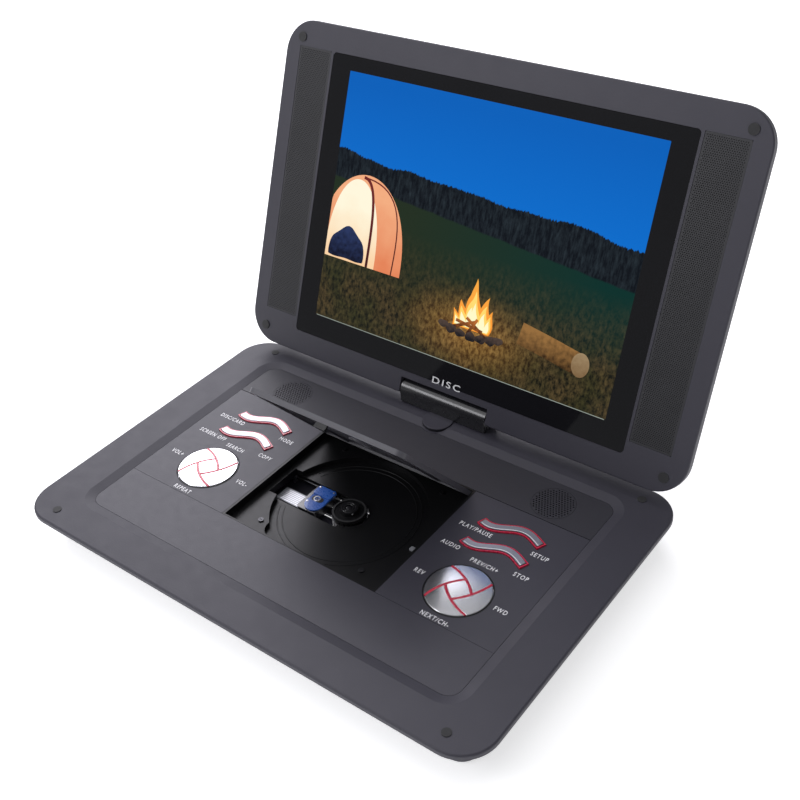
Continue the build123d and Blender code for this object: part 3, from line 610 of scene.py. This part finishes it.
def dial_rings(materials):
    """A thin dark ring bedded round each set of round keys."""
    for side, centre in DIALS.items():
        bm = bmesh.new()
        inner, outer = DIAL_R / MM + 0.45, DIAL_R / MM + 1.35
        profile = profile_above(
            PANEL_Z, (inner, -0.02), (inner, 0.12), (inner + 0.15, 0.22), (outer - 0.4, 0.22),
            (outer, -0.02),
        )
        add_revolved(bm, profile, centre, steps=96)
        piece(f"{side}_dial_ring", bm, materials["well"], "base")


def wave_points(length, steps=32):
    """Centre line of a wave key about its middle."""
    points = []
    for k in range(steps + 1):
        t = 0.5 + (k / steps - 0.5) * length / WAVE_LENGTH
        points.append((WAVE_LENGTH * (t - 0.5), WAVE_SWING * sin(2 * pi * t + WAVE_PHASE)))
    return points


def wave_band(bm, centre, length, width, low, high, bevel=0.0, segments=2, shift=0.0):
    """A flat band that follows the middle line of an S-shaped key."""
    outline = [
        (centre.x + x, centre.y + y + shift)
        for x, y in ribbon_outline(wave_points(length), width)
    ]
    add_prism(bm, outline, low, high, bevel, segments)


def wave_inlays(materials):
    """On each red wave key: a dark seam, a bevelled silver face, and a painted highlight along its
    front, a white strip standing in for the glint on the bevel.
    """
    length, width = WAVE_LENGTH - 2 * WAVE_RIM, WAVE_WIDTH - 2 * WAVE_RIM
    drop = 0.75 * MM - width / 2
    for name, centre in WAVES.items():
        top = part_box(name)[1].z
        low = top - 0.05 * MM
        bm = bmesh.new()
        wave_band(bm, centre, length + WAVE_SEAM, width + WAVE_SEAM, low, top + 0.05 * MM)
        piece(f"{name}_seam", bm, materials["well"], name)
        bm = bmesh.new()
        wave_band(bm, centre, length, width, low, top + 0.45 * MM, 0.35 * MM, 3)
        piece(f"{name}_inlay", bm, materials["inlay"], name)
        bm = bmesh.new()
        # Painted highlight: a white strip in the print finish stands in for the glint of light on the
        # silver bevel.
        low, high = top + 0.40 * MM, top + 0.50 * MM
        wave_band(bm, centre, length - 1.2 * MM, WAVE_GLINT_WIDTH, low, high, shift=drop)
        piece(f"{name}_painted_glint", bm, materials["print_and_glint"], name)


# ---- labels ---------------------------------------------------------------------------------
# words, and where their middle lies, in millimetres
LABELS = {
    "left": [
        ("DISC/CARD", -149.7, -17.8), ("MODE", -91.5, -15.5), ("SCREEN OFF", -149.7, -41.7),
        ("COPY", -92.0, -40.6), ("SEARCH", -120.9, -45.1), ("VOL+", -157.5, -74.5),
        ("VOL-", -85.8, -74.5), ("REPEAT", -120.9, -105.1),
    ],
    "right": [
        ("PLAY/PAUSE", 97.5, -17.8), ("SETUP", 151.5, -16.7), ("AUDIO", 91.2, -40.6),
        ("STOP", 150.9, -40.6), ("PREV/CH+", 123.2, -45.1), ("REV", 88.2, -75.1),
        ("FWD", 156.5, -75.1), ("NEXT/CH-", 123.2, -105.6),
    ],
}


def text_mesh(words, height, squeeze):
    """The words as a thin solid mesh, centred on the origin."""
    curve = bpy.data.curves.new("words", "FONT")
    curve.body = words
    curve.size = height / CAP_SHARE
    curve.align_x = "CENTER"
    curve.align_y = "CENTER"
    curve.extrude = 0.03 * MM
    curve.offset = 0.07 * MM
    curve.space_character = 1.27
    curve.resolution_u = 3
    holder = bpy.data.objects.new("words", curve)
    bpy.context.scene.collection.objects.link(holder)
    bpy.context.view_layer.update()
    graph = bpy.context.evaluated_depsgraph_get()
    mesh = bpy.data.meshes.new_from_object(holder.evaluated_get(graph))
    mesh.transform(Matrix.Diagonal((squeeze, 1, 1, 1)))
    bpy.data.objects.remove(holder)
    return mesh


def print_words(name, rows, height, squeeze, on_z, material, body, place=None):
    """Words on a flat surface, as one piece; rows are (words, x, y) in millimetres."""
    bm = bmesh.new()
    for words, x, y in rows:
        mesh = text_mesh(words, height, squeeze)
        mesh.transform(Matrix.Translation((x * MM, y * MM, on_z + 0.02 * MM)))
        bm.from_mesh(mesh)
        bpy.data.meshes.remove(mesh)
    bmesh.ops.remove_doubles(bm, verts=bm.verts, dist=0.002 * MM)
    piece(name, bm, material, body, place=place)


def panel_labels(materials):
    """Generic function words printed beside the keys."""
    for side, rows in LABELS.items():
        name = f"{side}_panel_labels"
        print_words(name, rows, 4.0 * MM, 0.74, PANEL_Z, materials["print_and_glint"], "base")


def bezel_label(materials):
    """A plain word printed under the picture."""
    front = local_box("screen_front_bezel", SCREEN_PLACE)[1].z
    print_words(
        "bezel_label", [("DISC", 1.0, 17.2)], 5.4 * MM, 1.45, front, materials["print_and_glint"],
        "screen", SCREEN_PLACE,
    )


# ---- speakers and mesh ----------------------------------------------------------------------
def speaker_grilles(materials):
    """Round grilles pierced in a fine hexagonal pattern, in place of the coarse CAD ones."""
    low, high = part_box("speaker_grilles")
    for sign, side in ((-1, "left"), (1, "right")):
        x = sign * (high.x - SPEAKER_R)
        y = (low.y + high.y) / 2
        holes = []
        reach = ceil(GRILLE_REACH / GRILLE_PITCH) + 1
        for row in range(-reach, reach + 1):
            for column in range(-reach, reach + 1):
                dx = (column + (row % 2) / 2) * GRILLE_PITCH
                dy = row * GRILLE_PITCH * sqrt(3) / 2
                if hypot(dx, dy) < GRILLE_REACH:
                    holes.append((x + dx, y + dy))
        bm = bmesh.new()
        outline = circle(x, y, SPEAKER_R - 0.05 * MM, 96)
        add_pierced(bm, outline, holes, GRILLE_HOLE_R, high.z - 1.0 * MM, high.z)
        grille = piece(f"{side}_speaker_grille", bm, materials["deck"], "base")
        if sign < 0:
            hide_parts("speaker_grilles")
        bm = bmesh.new()
        add_prism(bm, circle(x, y, SPEAKER_R - 0.1 * MM, 64), low.z, low.z + 0.25 * MM)
        piece(f"{side}_speaker_cloth", bm, materials["rubber"], "base")


def mesh_strips(materials):
    """The dotted strips beside the picture: rows of small round dimples through a thin plate."""
    low, high = local_box("mesh_strips", SCREEN_PLACE)
    for sign, side in ((-1, "left"), (1, "right")):
        x = sign * (high.x - MESH_WIDTH / 2)
        y = (low.y + high.y) / 2
        depth = high.y - low.y
        columns = int((MESH_WIDTH - 2 * MM) / MESH_PITCH)
        row_pitch = MESH_PITCH * sqrt(3) / 2
        rows = int((depth - 2 * MM) / row_pitch)
        holes = []
        for row in range(rows):
            for column in range(columns):
                dx = (column - (columns - 1) / 2 + (row % 2 - 0.5) / 2) * MESH_PITCH
                holes.append((x + dx, y + (row - (rows - 1) / 2) * row_pitch))
        plate_low = high.z - MESH_PLATE
        outline = rounded(x, y, MESH_WIDTH, depth, 1.0 * MM, steps=3)
        bm = bmesh.new()
        add_pierced(bm, outline, holes, MESH_HOLE_R, plate_low, high.z, sides=6)
        strip = piece(
            f"{side}_mesh_strip", bm, materials["mesh"], "screen", place=SCREEN_PLACE
        )
        if sign < 0:
            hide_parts("mesh_strips")
        bm = bmesh.new()
        add_prism(bm, outline, low.z, plate_low - 0.02 * MM)
        piece(
            f"{side}_mesh_backing", bm, materials["well"], "screen",
            place=SCREEN_PLACE,
        )


def local_box(node, place):
    """The box of a CAD node, measured in a part's own axes."""
    back = place.inverted()
    corners = [back @ vertex.co for vertex in frame["nodes"][node].data.vertices]
    low = Vector([min(c[k] for c in corners) for k in range(3)])
    high = Vector([max(c[k] for c in corners) for k in range(3)])
    return low, high


# ---- the lit picture ------------------------------------------------------------------------
# Drawn in the display's own axes about the picture's centre: a dusk meadow with a tent and a fire.
FIRE = Vector((14.0, -74.0)) * MM
TENT = Vector((-107.0, -50.0)) * MM
LAYER = 0.03 * MM


def layer_place(number):
    """Where a layer of the picture lies, counted up from the glass."""
    glass_top = local_box("display_glass", SCREEN_PLACE)[1].z
    return SCREEN_PLACE @ Matrix.Translation((0, PICTURE_Y, glass_top + LAYER * number))


def squashed(graph, share):
    """The picture's coordinates with their heights scaled, which draws a noise out upright."""
    return graph.add("Mapping", Vector=graph.coords, Scale=(1.0, share, 1.0)).outputs["Vector"]


def tree_line(graph, x, y):
    """Two masks: above the ragged treetops, and above the foot of the wood."""
    across = graph.add("CombineXYZ", X=x, Y=0.0, Z=0.0).outputs["Vector"]
    hills = graph.math("MULTIPLY", graph.noise(across, 18, 1.0), 16 * MM)
    twigs = graph.math("MULTIPLY", graph.noise(across, 420, 4.0, 0.75), 9 * MM)
    slope = graph.math("ADD", graph.math("MULTIPLY", x, -0.05), 20 * MM)
    tops = graph.math("ADD", graph.math("ADD", hills, twigs), slope)
    in_sky = graph.span(graph.math("SUBTRACT", y, tops), -0.3 * MM, 0.3 * MM)
    edge = graph.math("ADD", graph.math("MULTIPLY", x, -0.085), 4.5 * MM)
    uneven = graph.math("MULTIPLY", graph.noise(across, 60, 3.0), 3 * MM)
    foot = graph.math("ADD", edge, uneven)
    in_wood = graph.span(graph.math("SUBTRACT", y, foot), -0.6 * MM, 0.9 * MM)
    return in_sky, in_wood


def fire_glow(graph, x, y):
    """How strongly the fire lights the ground: strong beside it, nothing far away."""
    dx = graph.math("SUBTRACT", x, FIRE.x)
    dy = graph.math("MULTIPLY", graph.math("SUBTRACT", y, FIRE.y), 1.9)
    squares = [graph.math("POWER", part, 2.0) for part in (dx, dy)]
    distance = graph.math("SQRT", graph.math("ADD", *squares))
    near = graph.math("POWER", graph.span(distance, 78 * MM, 6 * MM), 1.6)
    return graph.math("MULTIPLY", near, 0.75)


def ground_colour(graph, x, y):
    """Dark far grass, tufted near grass, and the fire's light on it."""
    far = graph.mix(
        graph.span(x, -60 * MM, 120 * MM), (0.014, 0.026, 0.012), (0.001, 0.028, 0.022)
    )
    tufts = graph.span(graph.noise(squashed(graph, 0.55), 300, 6.0, 0.75), 0.40, 0.66)
    patches = graph.span(graph.noise(graph.coords, 38, 3.0), 0.35, 0.65)
    blades = graph.mix(patches, (0.055, 0.052, 0.018), (0.11, 0.075, 0.03))
    near = graph.mix(tufts, (0.006, 0.007, 0.004), blades)
    grass = graph.mix(graph.span(y, -10 * MM, -70 * MM), far, near)
    lit = graph.mix(tufts, (0.16, 0.065, 0.012), (0.62, 0.34, 0.09))
    return graph.mix(fire_glow(graph, x, y), grass, lit)


def meadow_material():
    """Sky above a ragged line of trees, and grass lit by the fire."""
    graph = Graph("meadow_picture")
    split = graph.add("SeparateXYZ", Vector=graph.coords)
    x, y = split.outputs["X"], split.outputs["Y"]
    in_sky, in_wood = tree_line(graph, x, y)
    height = graph.span(y, 20 * MM, 95 * MM)
    sky = graph.mix(height, (0.001, 0.150, 0.60), (0.0, 0.115, 0.49))
    trunks = graph.span(graph.noise(squashed(graph, 0.25), 330, 5.0, 0.7), 0.42, 0.72)
    trees = graph.mix(trunks, (0.002, 0.004, 0.007), (0.020, 0.030, 0.038))
    land = graph.mix(in_wood, ground_colour(graph, x, y), trees)
    return graph.finish(
        Base_Color=(0.002, 0.002, 0.003, 1.0), Emission_Color=graph.mix(in_sky, land, sky),
        Emission_Strength=1.0,
        Roughness=graph.span(graph.noise(graph.coords, 20), 0.0, 1.0, 0.08, 0.14),
        Specular_IOR_Level=0.12,
    )


def glowing(name, low_colour, high_colour, low_y, high_y, mottle=0.25, scale=140):
    """A lit part of the picture: a colour that changes with height, broken up by fine noise."""
    graph = Graph(name)
    y = graph.add("SeparateXYZ", Vector=graph.coords).outputs["Y"]
    uneven = graph.span(graph.noise(graph.coords, scale, 4.0), 0.25, 0.75, -mottle, mottle)
    share = graph.math("ADD", graph.span(y, low_y, high_y), uneven, clamp=True)
    return graph.finish(
        Base_Color=(0.002, 0.002, 0.002, 1.0),
        Emission_Color=graph.mix(share, low_colour, high_colour),
        Emission_Strength=1.0, Roughness=0.12, Specular_IOR_Level=0.12,
    )


def picture_piece(name, outlines, material, layer, thick=0.8):
    """Flat shapes of the picture, as one thin piece on its own layer."""
    bm = bmesh.new()
    for outline in outlines:
        add_prism(bm, outline, 0.0, LAYER * thick)
    return piece(name, bm, material, "screen", place=layer_place(layer))


def display_picture():
    half_w, half_h = PICTURE_W / 2, PICTURE_H / 2
    bm = bmesh.new()
    add_prism(bm, rounded(0, 0, PICTURE_W, PICTURE_H, 0.6 * MM, steps=3), 0.0, LAYER)
    piece("picture_meadow", bm, meadow_material(), "screen", place=layer_place(0))
    line = glowing("edge_light", (0.30, 0.34, 0.30), (0.45, 0.50, 0.46), -half_h, half_h)
    bar = rounded(0, -half_h - 0.35 * MM, PICTURE_W - 2 * MM, 0.55 * MM, 0.2 * MM)
    picture_piece("picture_lower_line", [bar], line, 0)
    picture_tent(half_w)
    picture_flames()
    picture_logs()
    picture_hearth()
    picture_seat()


def dome_outline(centre, half_width, height, left_limit):
    """A tent dome on a flat base, cut off at the picture's left edge."""
    points = []
    for k in range(41):
        angle = pi * k / 40
        x = max(centre.x + half_width * cos(angle), left_limit)
        points.append((x, centre.y + height * sin(angle) ** 0.85))
    return points


def glow_above(base, name, low_colour, high_colour, low, high, *mottling):
    """A lit material whose colours run between two heights, in mm above a base point."""
    low_y, high_y = base.y + low * MM, base.y + high * MM
    return glowing(name, low_colour, high_colour, low_y, high_y, *mottling)


def picture_tent(half_w):
    left = -half_w + 0.3 * MM
    skin = glow_above(TENT, "tent_skin", (0.95, 0.50, 0.20), (1.0, 0.93, 0.72), -20, 46, 0.12, 45)
    side = glow_above(TENT, "tent_side", (0.78, 0.23, 0.10), (0.90, 0.42, 0.22), 0, 60, 0.2, 60)
    pole = glow_above(TENT, "tent_pole", (0.05, 0.008, 0.010), (0.16, 0.02, 0.02), 0, 70)
    sack = glow_above(TENT, "sack_cloth", (0.004, 0.006, 0.022), (0.02, 0.035, 0.11), 0, 30, 0.4, 220)
    outline = dome_outline(TENT, 45 * MM, 75 * MM, left)
    picture_piece("picture_tent_side", [outline], side, 1)
    front = TENT + Vector((-9.0, 0.0)) * MM
    outline = dome_outline(front, 27 * MM, 70 * MM, left)
    picture_piece("picture_tent_front", [outline], skin, 2)
    bands = []
    for x_top, x_low, bulge, width in ((-5.0, 10.0, 5.0, 2.6), (-5.0, 36.0, 15.0, 1.2)):
        line = []
        for k in range(17):
            t = k / 16
            x = TENT.x + (x_top + (x_low - x_top) * t + bulge * sin(pi * t)) * MM
            line.append((x, TENT.y + (72.5 * cos(pi / 2 * t ** 1.15)) * MM))
        bands.append(ribbon_outline(line, width * MM))
    picture_piece("picture_tent_poles", bands, pole, 3)
    base = TENT + Vector((-13.0, 6.0)) * MM
    bag = []
    for k in range(40):
        angle = 2 * pi * k / 40
        lift = max(sin(angle), -0.2) * (1 + 0.08 * sin(5 * angle))
        bag.append((base.x + 19 * MM * cos(angle), base.y + 22 * MM * lift))
    picture_piece("picture_sack", [bag], sack, 4)


def flame_outline(centre, width, height, lean, waves):
    """One tongue of flame: wide and round at its foot, pointed and bent at its tip."""
    left, right = [], []
    steps = 18
    for k in range(steps + 1):
        t = k / steps
        swell = width / 2 * (1 - t) ** 0.75 * (0.75 + 0.9 * t * (1 - t) * 2.2)
        bend = lean * t * t + width * 0.10 * sin(waves * pi * t)
        y = centre.y + height * t
        left.append((centre.x + bend - swell, y))
        right.append((centre.x + bend + swell, y))
    return left[:-1] + [right[-1]] + right[-2::-1]


def picture_flames():
    """Six tongues of flame, each drawn three times: outer, middle and core."""
    # x from the fire's middle, width, height, lean, waves
    flames = (
        (-9.0, 13, 22, -3, 1.6), (-3.0, 15, 34, 2, 2.0), (2.0, 14, 42, -5, 2.4),
        (8.0, 13, 30, 5, 1.8), (13.0, 10, 20, 5, 1.5), (-14.0, 9, 14, -4, 1.4),
    )
    # name, colour at the foot, colour at the tip, share of the full size, layer
    shades = (
        ("outer", (1.0, 0.30, 0.03), (0.95, 0.42, 0.06), 1.0, 5),
        ("middle", (1.0, 0.62, 0.10), (1.0, 0.78, 0.22), 0.74, 6),
        ("core", (1.0, 0.96, 0.62), (1.0, 0.92, 0.50), 0.5, 7),
    )
    low = FIRE.y + 2 * MM
    for name, foot, tip, share, layer in shades:
        material = glow_above(FIRE, f"flame_{name}", foot, tip, 0, 44, 0.1, 200)
        for number, (x, width, height, lean, waves) in enumerate(flames):
            centre = Vector((FIRE.x + x * MM, low + (1 - share) * 3 * MM))
            size = share * MM
            outline = flame_outline(centre, width * size, height * size, lean * size, waves)
            label = f"picture_flame_{name}_{number + 1}"
            picture_piece(label, [outline], material, layer, 0.4 + 0.08 * number)


def picture_logs():
    """Four burning logs, stacked across each other."""
    bark = glow_above(
        FIRE, "burning_log", (0.035, 0.012, 0.006), (0.50, 0.15, 0.03), 0, 12, 0.35, 260
    )
    logs = ((-7, 24, 22), (5, -30, 24), (1, 62, 16), (-2, -8, 26))
    for number, (x, angle, length) in enumerate(logs):
        along = Vector((cos(radians(angle)), sin(radians(angle)))) * length / 2 * MM
        centre = FIRE + Vector((x, 5.0)) * MM
        line = [tuple(centre - along), tuple(centre + along)]
        outline = ribbon_outline(line, 2.6 * MM)
        picture_piece(f"picture_log_{number + 1}", [outline], bark, 8, 0.4 + 0.1 * number)


def picture_hearth():
    """A bowed row of stones in front of the fire."""
    stone = glow_above(
        FIRE, "hearth_stone", (0.010, 0.010, 0.013), (0.10, 0.065, 0.05), -6, 5, 0.3, 300
    )
    places = ((-26, 3.0), (-18, 3.8), (-9, 3.2), (1, 3.9), (10, 3.4), (19, 3.8), (26, 3.0))
    for k, (x, height) in enumerate(places):
        y = FIRE.y + (0.006 * x * x - 3.5) * MM
        outline = []
        for i in range(22):
            angle = 2 * pi * i / 22
            uneven = 1 + 0.15 * sin(3 * angle + k)
            outline.append((
                FIRE.x + (x + 5.0 * cos(angle)) * MM, y + height * sin(angle) * uneven * MM
            ))
        picture_piece(f"picture_stone_{k + 1}", [outline], stone, 9, 0.4 + 0.05 * k)


def picture_seat():
    """A cut log beside the fire."""
    bark = glowing(
        "seat_bark", (0.035, 0.018, 0.007), (0.30, 0.15, 0.045), -80 * MM, -55 * MM, 0.35, 240
    )
    cut = glowing(
        "seat_end", (0.20, 0.12, 0.055), (0.34, 0.24, 0.13), -80 * MM, -58 * MM, 0.2, 300
    )
    line = [(58 * MM, -61 * MM), (84 * MM, -65 * MM), (112 * MM, -70 * MM)]
    picture_piece("picture_seat_log", [ribbon_outline(line, 18 * MM)], bark, 1)
    end = []
    for k in range(32):
        angle = 2 * pi * k / 32
        end.append((113 * MM + 7.5 * MM * cos(angle), -70 * MM + 9.6 * MM * sin(angle)))
    picture_piece("picture_seat_end", [end], cut, 2)


# ---- disc well ------------------------------------------------------------------------------
def well_details(materials):
    """Ridges moulded in the disc floor, and the small tab of the door switch."""
    floor_z = PANEL_Z - 11.0 * MM
    reach = radians(156)
    bm = bmesh.new()
    for radius in (52.0, 56.0):
        profile = profile_above(
            floor_z, (radius - 0.5, -0.05), (radius - 0.25, 0.28),
            (radius + 0.25, 0.28), (radius + 0.5, -0.05),
        )
        add_revolved(bm, profile, DISC, 110, -reach, reach)
    piece("disc_floor_ridges", bm, materials["well"], "base")
    tab_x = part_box("disc_tray")[1].x - 5.4 * MM
    tab_y = DISC.y - 9.0 * MM
    shelf_z = PANEL_Z - 6.5 * MM
    bm = bmesh.new()
    outline = rounded(tab_x, tab_y, 6.8 * MM, 3.8 * MM, 0.6 * MM)
    add_prism(bm, outline, shelf_z, shelf_z + 1.6 * MM, 0.3 * MM)
    piece("door_switch_tab", bm, materials["flex"], "base")
    bm = bmesh.new()
    outline = rounded(tab_x, tab_y, 7.4 * MM, 6.2 * MM, 0.9 * MM)
    add_prism(bm, outline, shelf_z - 0.05 * MM, shelf_z + 0.4 * MM, 0.15 * MM)
    piece("door_switch_frame", bm, materials["well"], "base")


def turntable_details(materials):
    """Rubber ring that the disc rests on, three spring balls, and the domed tip of the shaft."""
    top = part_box("turntable")[1].z
    bm = bmesh.new()
    ring_z = top - 3.0 * MM
    ring = profile_above(ring_z, (11.7, -0.1), (11.8, 0.12), (13.1, 0.12), (13.25, -0.1))
    add_revolved(bm, ring, DISC, 72)
    piece("turntable_rubber_ring", bm, materials["rubber"], "turntable")
    bm = bmesh.new()
    ball_circle, ball_z = 6.7 * MM, top - 1.35 * MM
    for k in range(3):
        angle = radians(90 + 120 * k)
        spot = (DISC.x + ball_circle * cos(angle), DISC.y + ball_circle * sin(angle), ball_z)
        bmesh.ops.create_uvsphere(
            bm, u_segments=16, v_segments=10, radius=1.05 * MM, matrix=Matrix.Translation(spot)
        )
    piece("turntable_balls", bm, materials["steel"], "turntable")
    bm = bmesh.new()
    tip = profile_above(top, (0.05, -1.0), (2.2, -1.0), (2.2, -0.5), (1.5, -0.12), (0.05, -0.02))
    add_revolved(bm, tip, DISC, 32)
    for radius in (3.6, 5.4):
        groove = profile_above(
            top, (radius - 0.35, -0.02), (radius - 0.2, 0.1), (radius + 0.2, 0.1),
            (radius + 0.35, -0.02),
        )
        add_revolved(bm, groove, DISC, 48)
    piece("turntable_hub_cap", bm, materials["cast"], "turntable")


def pickup_details(materials):
    """Rounded blue cover with a painted shade on it (a dark plate standing in for the shadowed opening
    round the lens), raised block behind it, and the ring round the lens.
    """
    deck_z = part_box("pickup_sled")[1].z
    lens_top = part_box("pickup_lens")[1].z
    x, y = LENS.x, LENS.y
    cover_top, block_top = deck_z + 1.0 * MM, deck_z + 2.0 * MM
    buried = deck_z - 0.1 * MM
    nose = Vector((x + 1.4 * MM, y - 5.0 * MM))
    half_width, half_depth = 8.1 * MM, 8.0 * MM
    cover_rear = y + 3.5 * MM
    outline = [(nose.x + half_width, cover_rear), (nose.x - half_width, cover_rear)]
    for k in range(21):
        angle = pi + pi * k / 20
        outline.append((nose.x + half_width * cos(angle), nose.y + half_depth * sin(angle)))
    bm = bmesh.new()
    add_prism(bm, outline, buried, cover_top, 0.5 * MM, 3)
    block = rounded(x + 1.0 * MM, y + 8.3 * MM, 17.0 * MM, 9.8 * MM, 1.4 * MM)
    add_prism(bm, block, buried, block_top, 0.7 * MM, 3)
    piece("pickup_cover", bm, materials["blue"], "pickup")
    bm = bmesh.new()
    # Painted shade: a dark plate on the cover stands in for the shadowed opening round the lens.
    hole_shade = rounded(x + 0.6 * MM, y - 0.2 * MM, 10.6 * MM, 5.8 * MM, 2.8 * MM)
    low, high = cover_top - 0.1 * MM, cover_top + 0.15 * MM
    add_pierced(bm, hole_shade, [(x, y)], 2.5 * MM, low, high, sides=24)
    piece("pickup_painted_hole_shade", bm, materials["well"], "pickup")
    bm = bmesh.new()
    ring = profile_above(
        lens_top, (1.95, -0.9), (2.1, 0.05), (2.9, 0.05), (3.15, -0.25), (3.15, -0.9)
    )
    add_revolved(bm, ring, LENS, 40)
    piece("pickup_lens_ring", bm, materials["steel"], "pickup")
    bm = bmesh.new()
    screws = ((-5.2, -6.0, cover_top), (7.8, 11.4, block_top), (-5.8, 11.4, block_top))
    for dx, dy, height in screws:
        head = circle(x + dx * MM, y + dy * MM, 0.9 * MM, 20)
        add_prism(bm, head, height - 0.05 * MM, height + 0.3 * MM, 0.12 * MM)
    piece("pickup_screws", bm, materials["steel"], "pickup")
    low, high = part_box("pickup_flex")
    middle_x, length = (low.x + high.x) / 2, high.x - low.x - 2 * MM
    bm = bmesh.new()
    for k in range(7):
        line_y = low.y + (1.6 + 1.75 * k) * MM
        trace = rounded(middle_x, line_y, length, 0.5 * MM, 0.2 * MM, 2)
        add_prism(bm, trace, high.z - 0.01 * MM, high.z + 0.05 * MM)
    piece("pickup_flex_traces", bm, materials["foil"], "pickup")


# ---- hinge ----------------------------------------------------------------------------------
def swivel_cap(materials):
    """A thin cap in the panel's own finish on the round foot of the swivel."""
    foot_top = PANEL_Z + 3.0 * MM
    skirt_drop = (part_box("top_case")[1].z + 0.1 * MM - foot_top) / MM
    profile = profile_above(
        foot_top, (0.05, -0.1), (12.45, -0.1), (12.45, skirt_drop), (12.8, skirt_drop),
        (12.8, -0.1), (12.5, 0.15), (0.05, 0.15),
    )
    bm = bmesh.new()
    add_revolved(bm, profile, JOINTS["screen_swivel"]["pos_m"], 72)
    piece("swivel_cap", bm, materials["panel"], "swivel")


make_camera()
make_studio()
make_floor()
finishes = make_materials()
dress_cad_nodes(finishes)
dial_lines(finishes)
dial_rings(finishes)
wave_inlays(finishes)
panel_labels(finishes)
bezel_label(finishes)
speaker_grilles(finishes)
mesh_strips(finishes)
display_picture()
well_details(finishes)
turntable_details(finishes)
pickup_details(finishes)
swivel_cap(finishes)
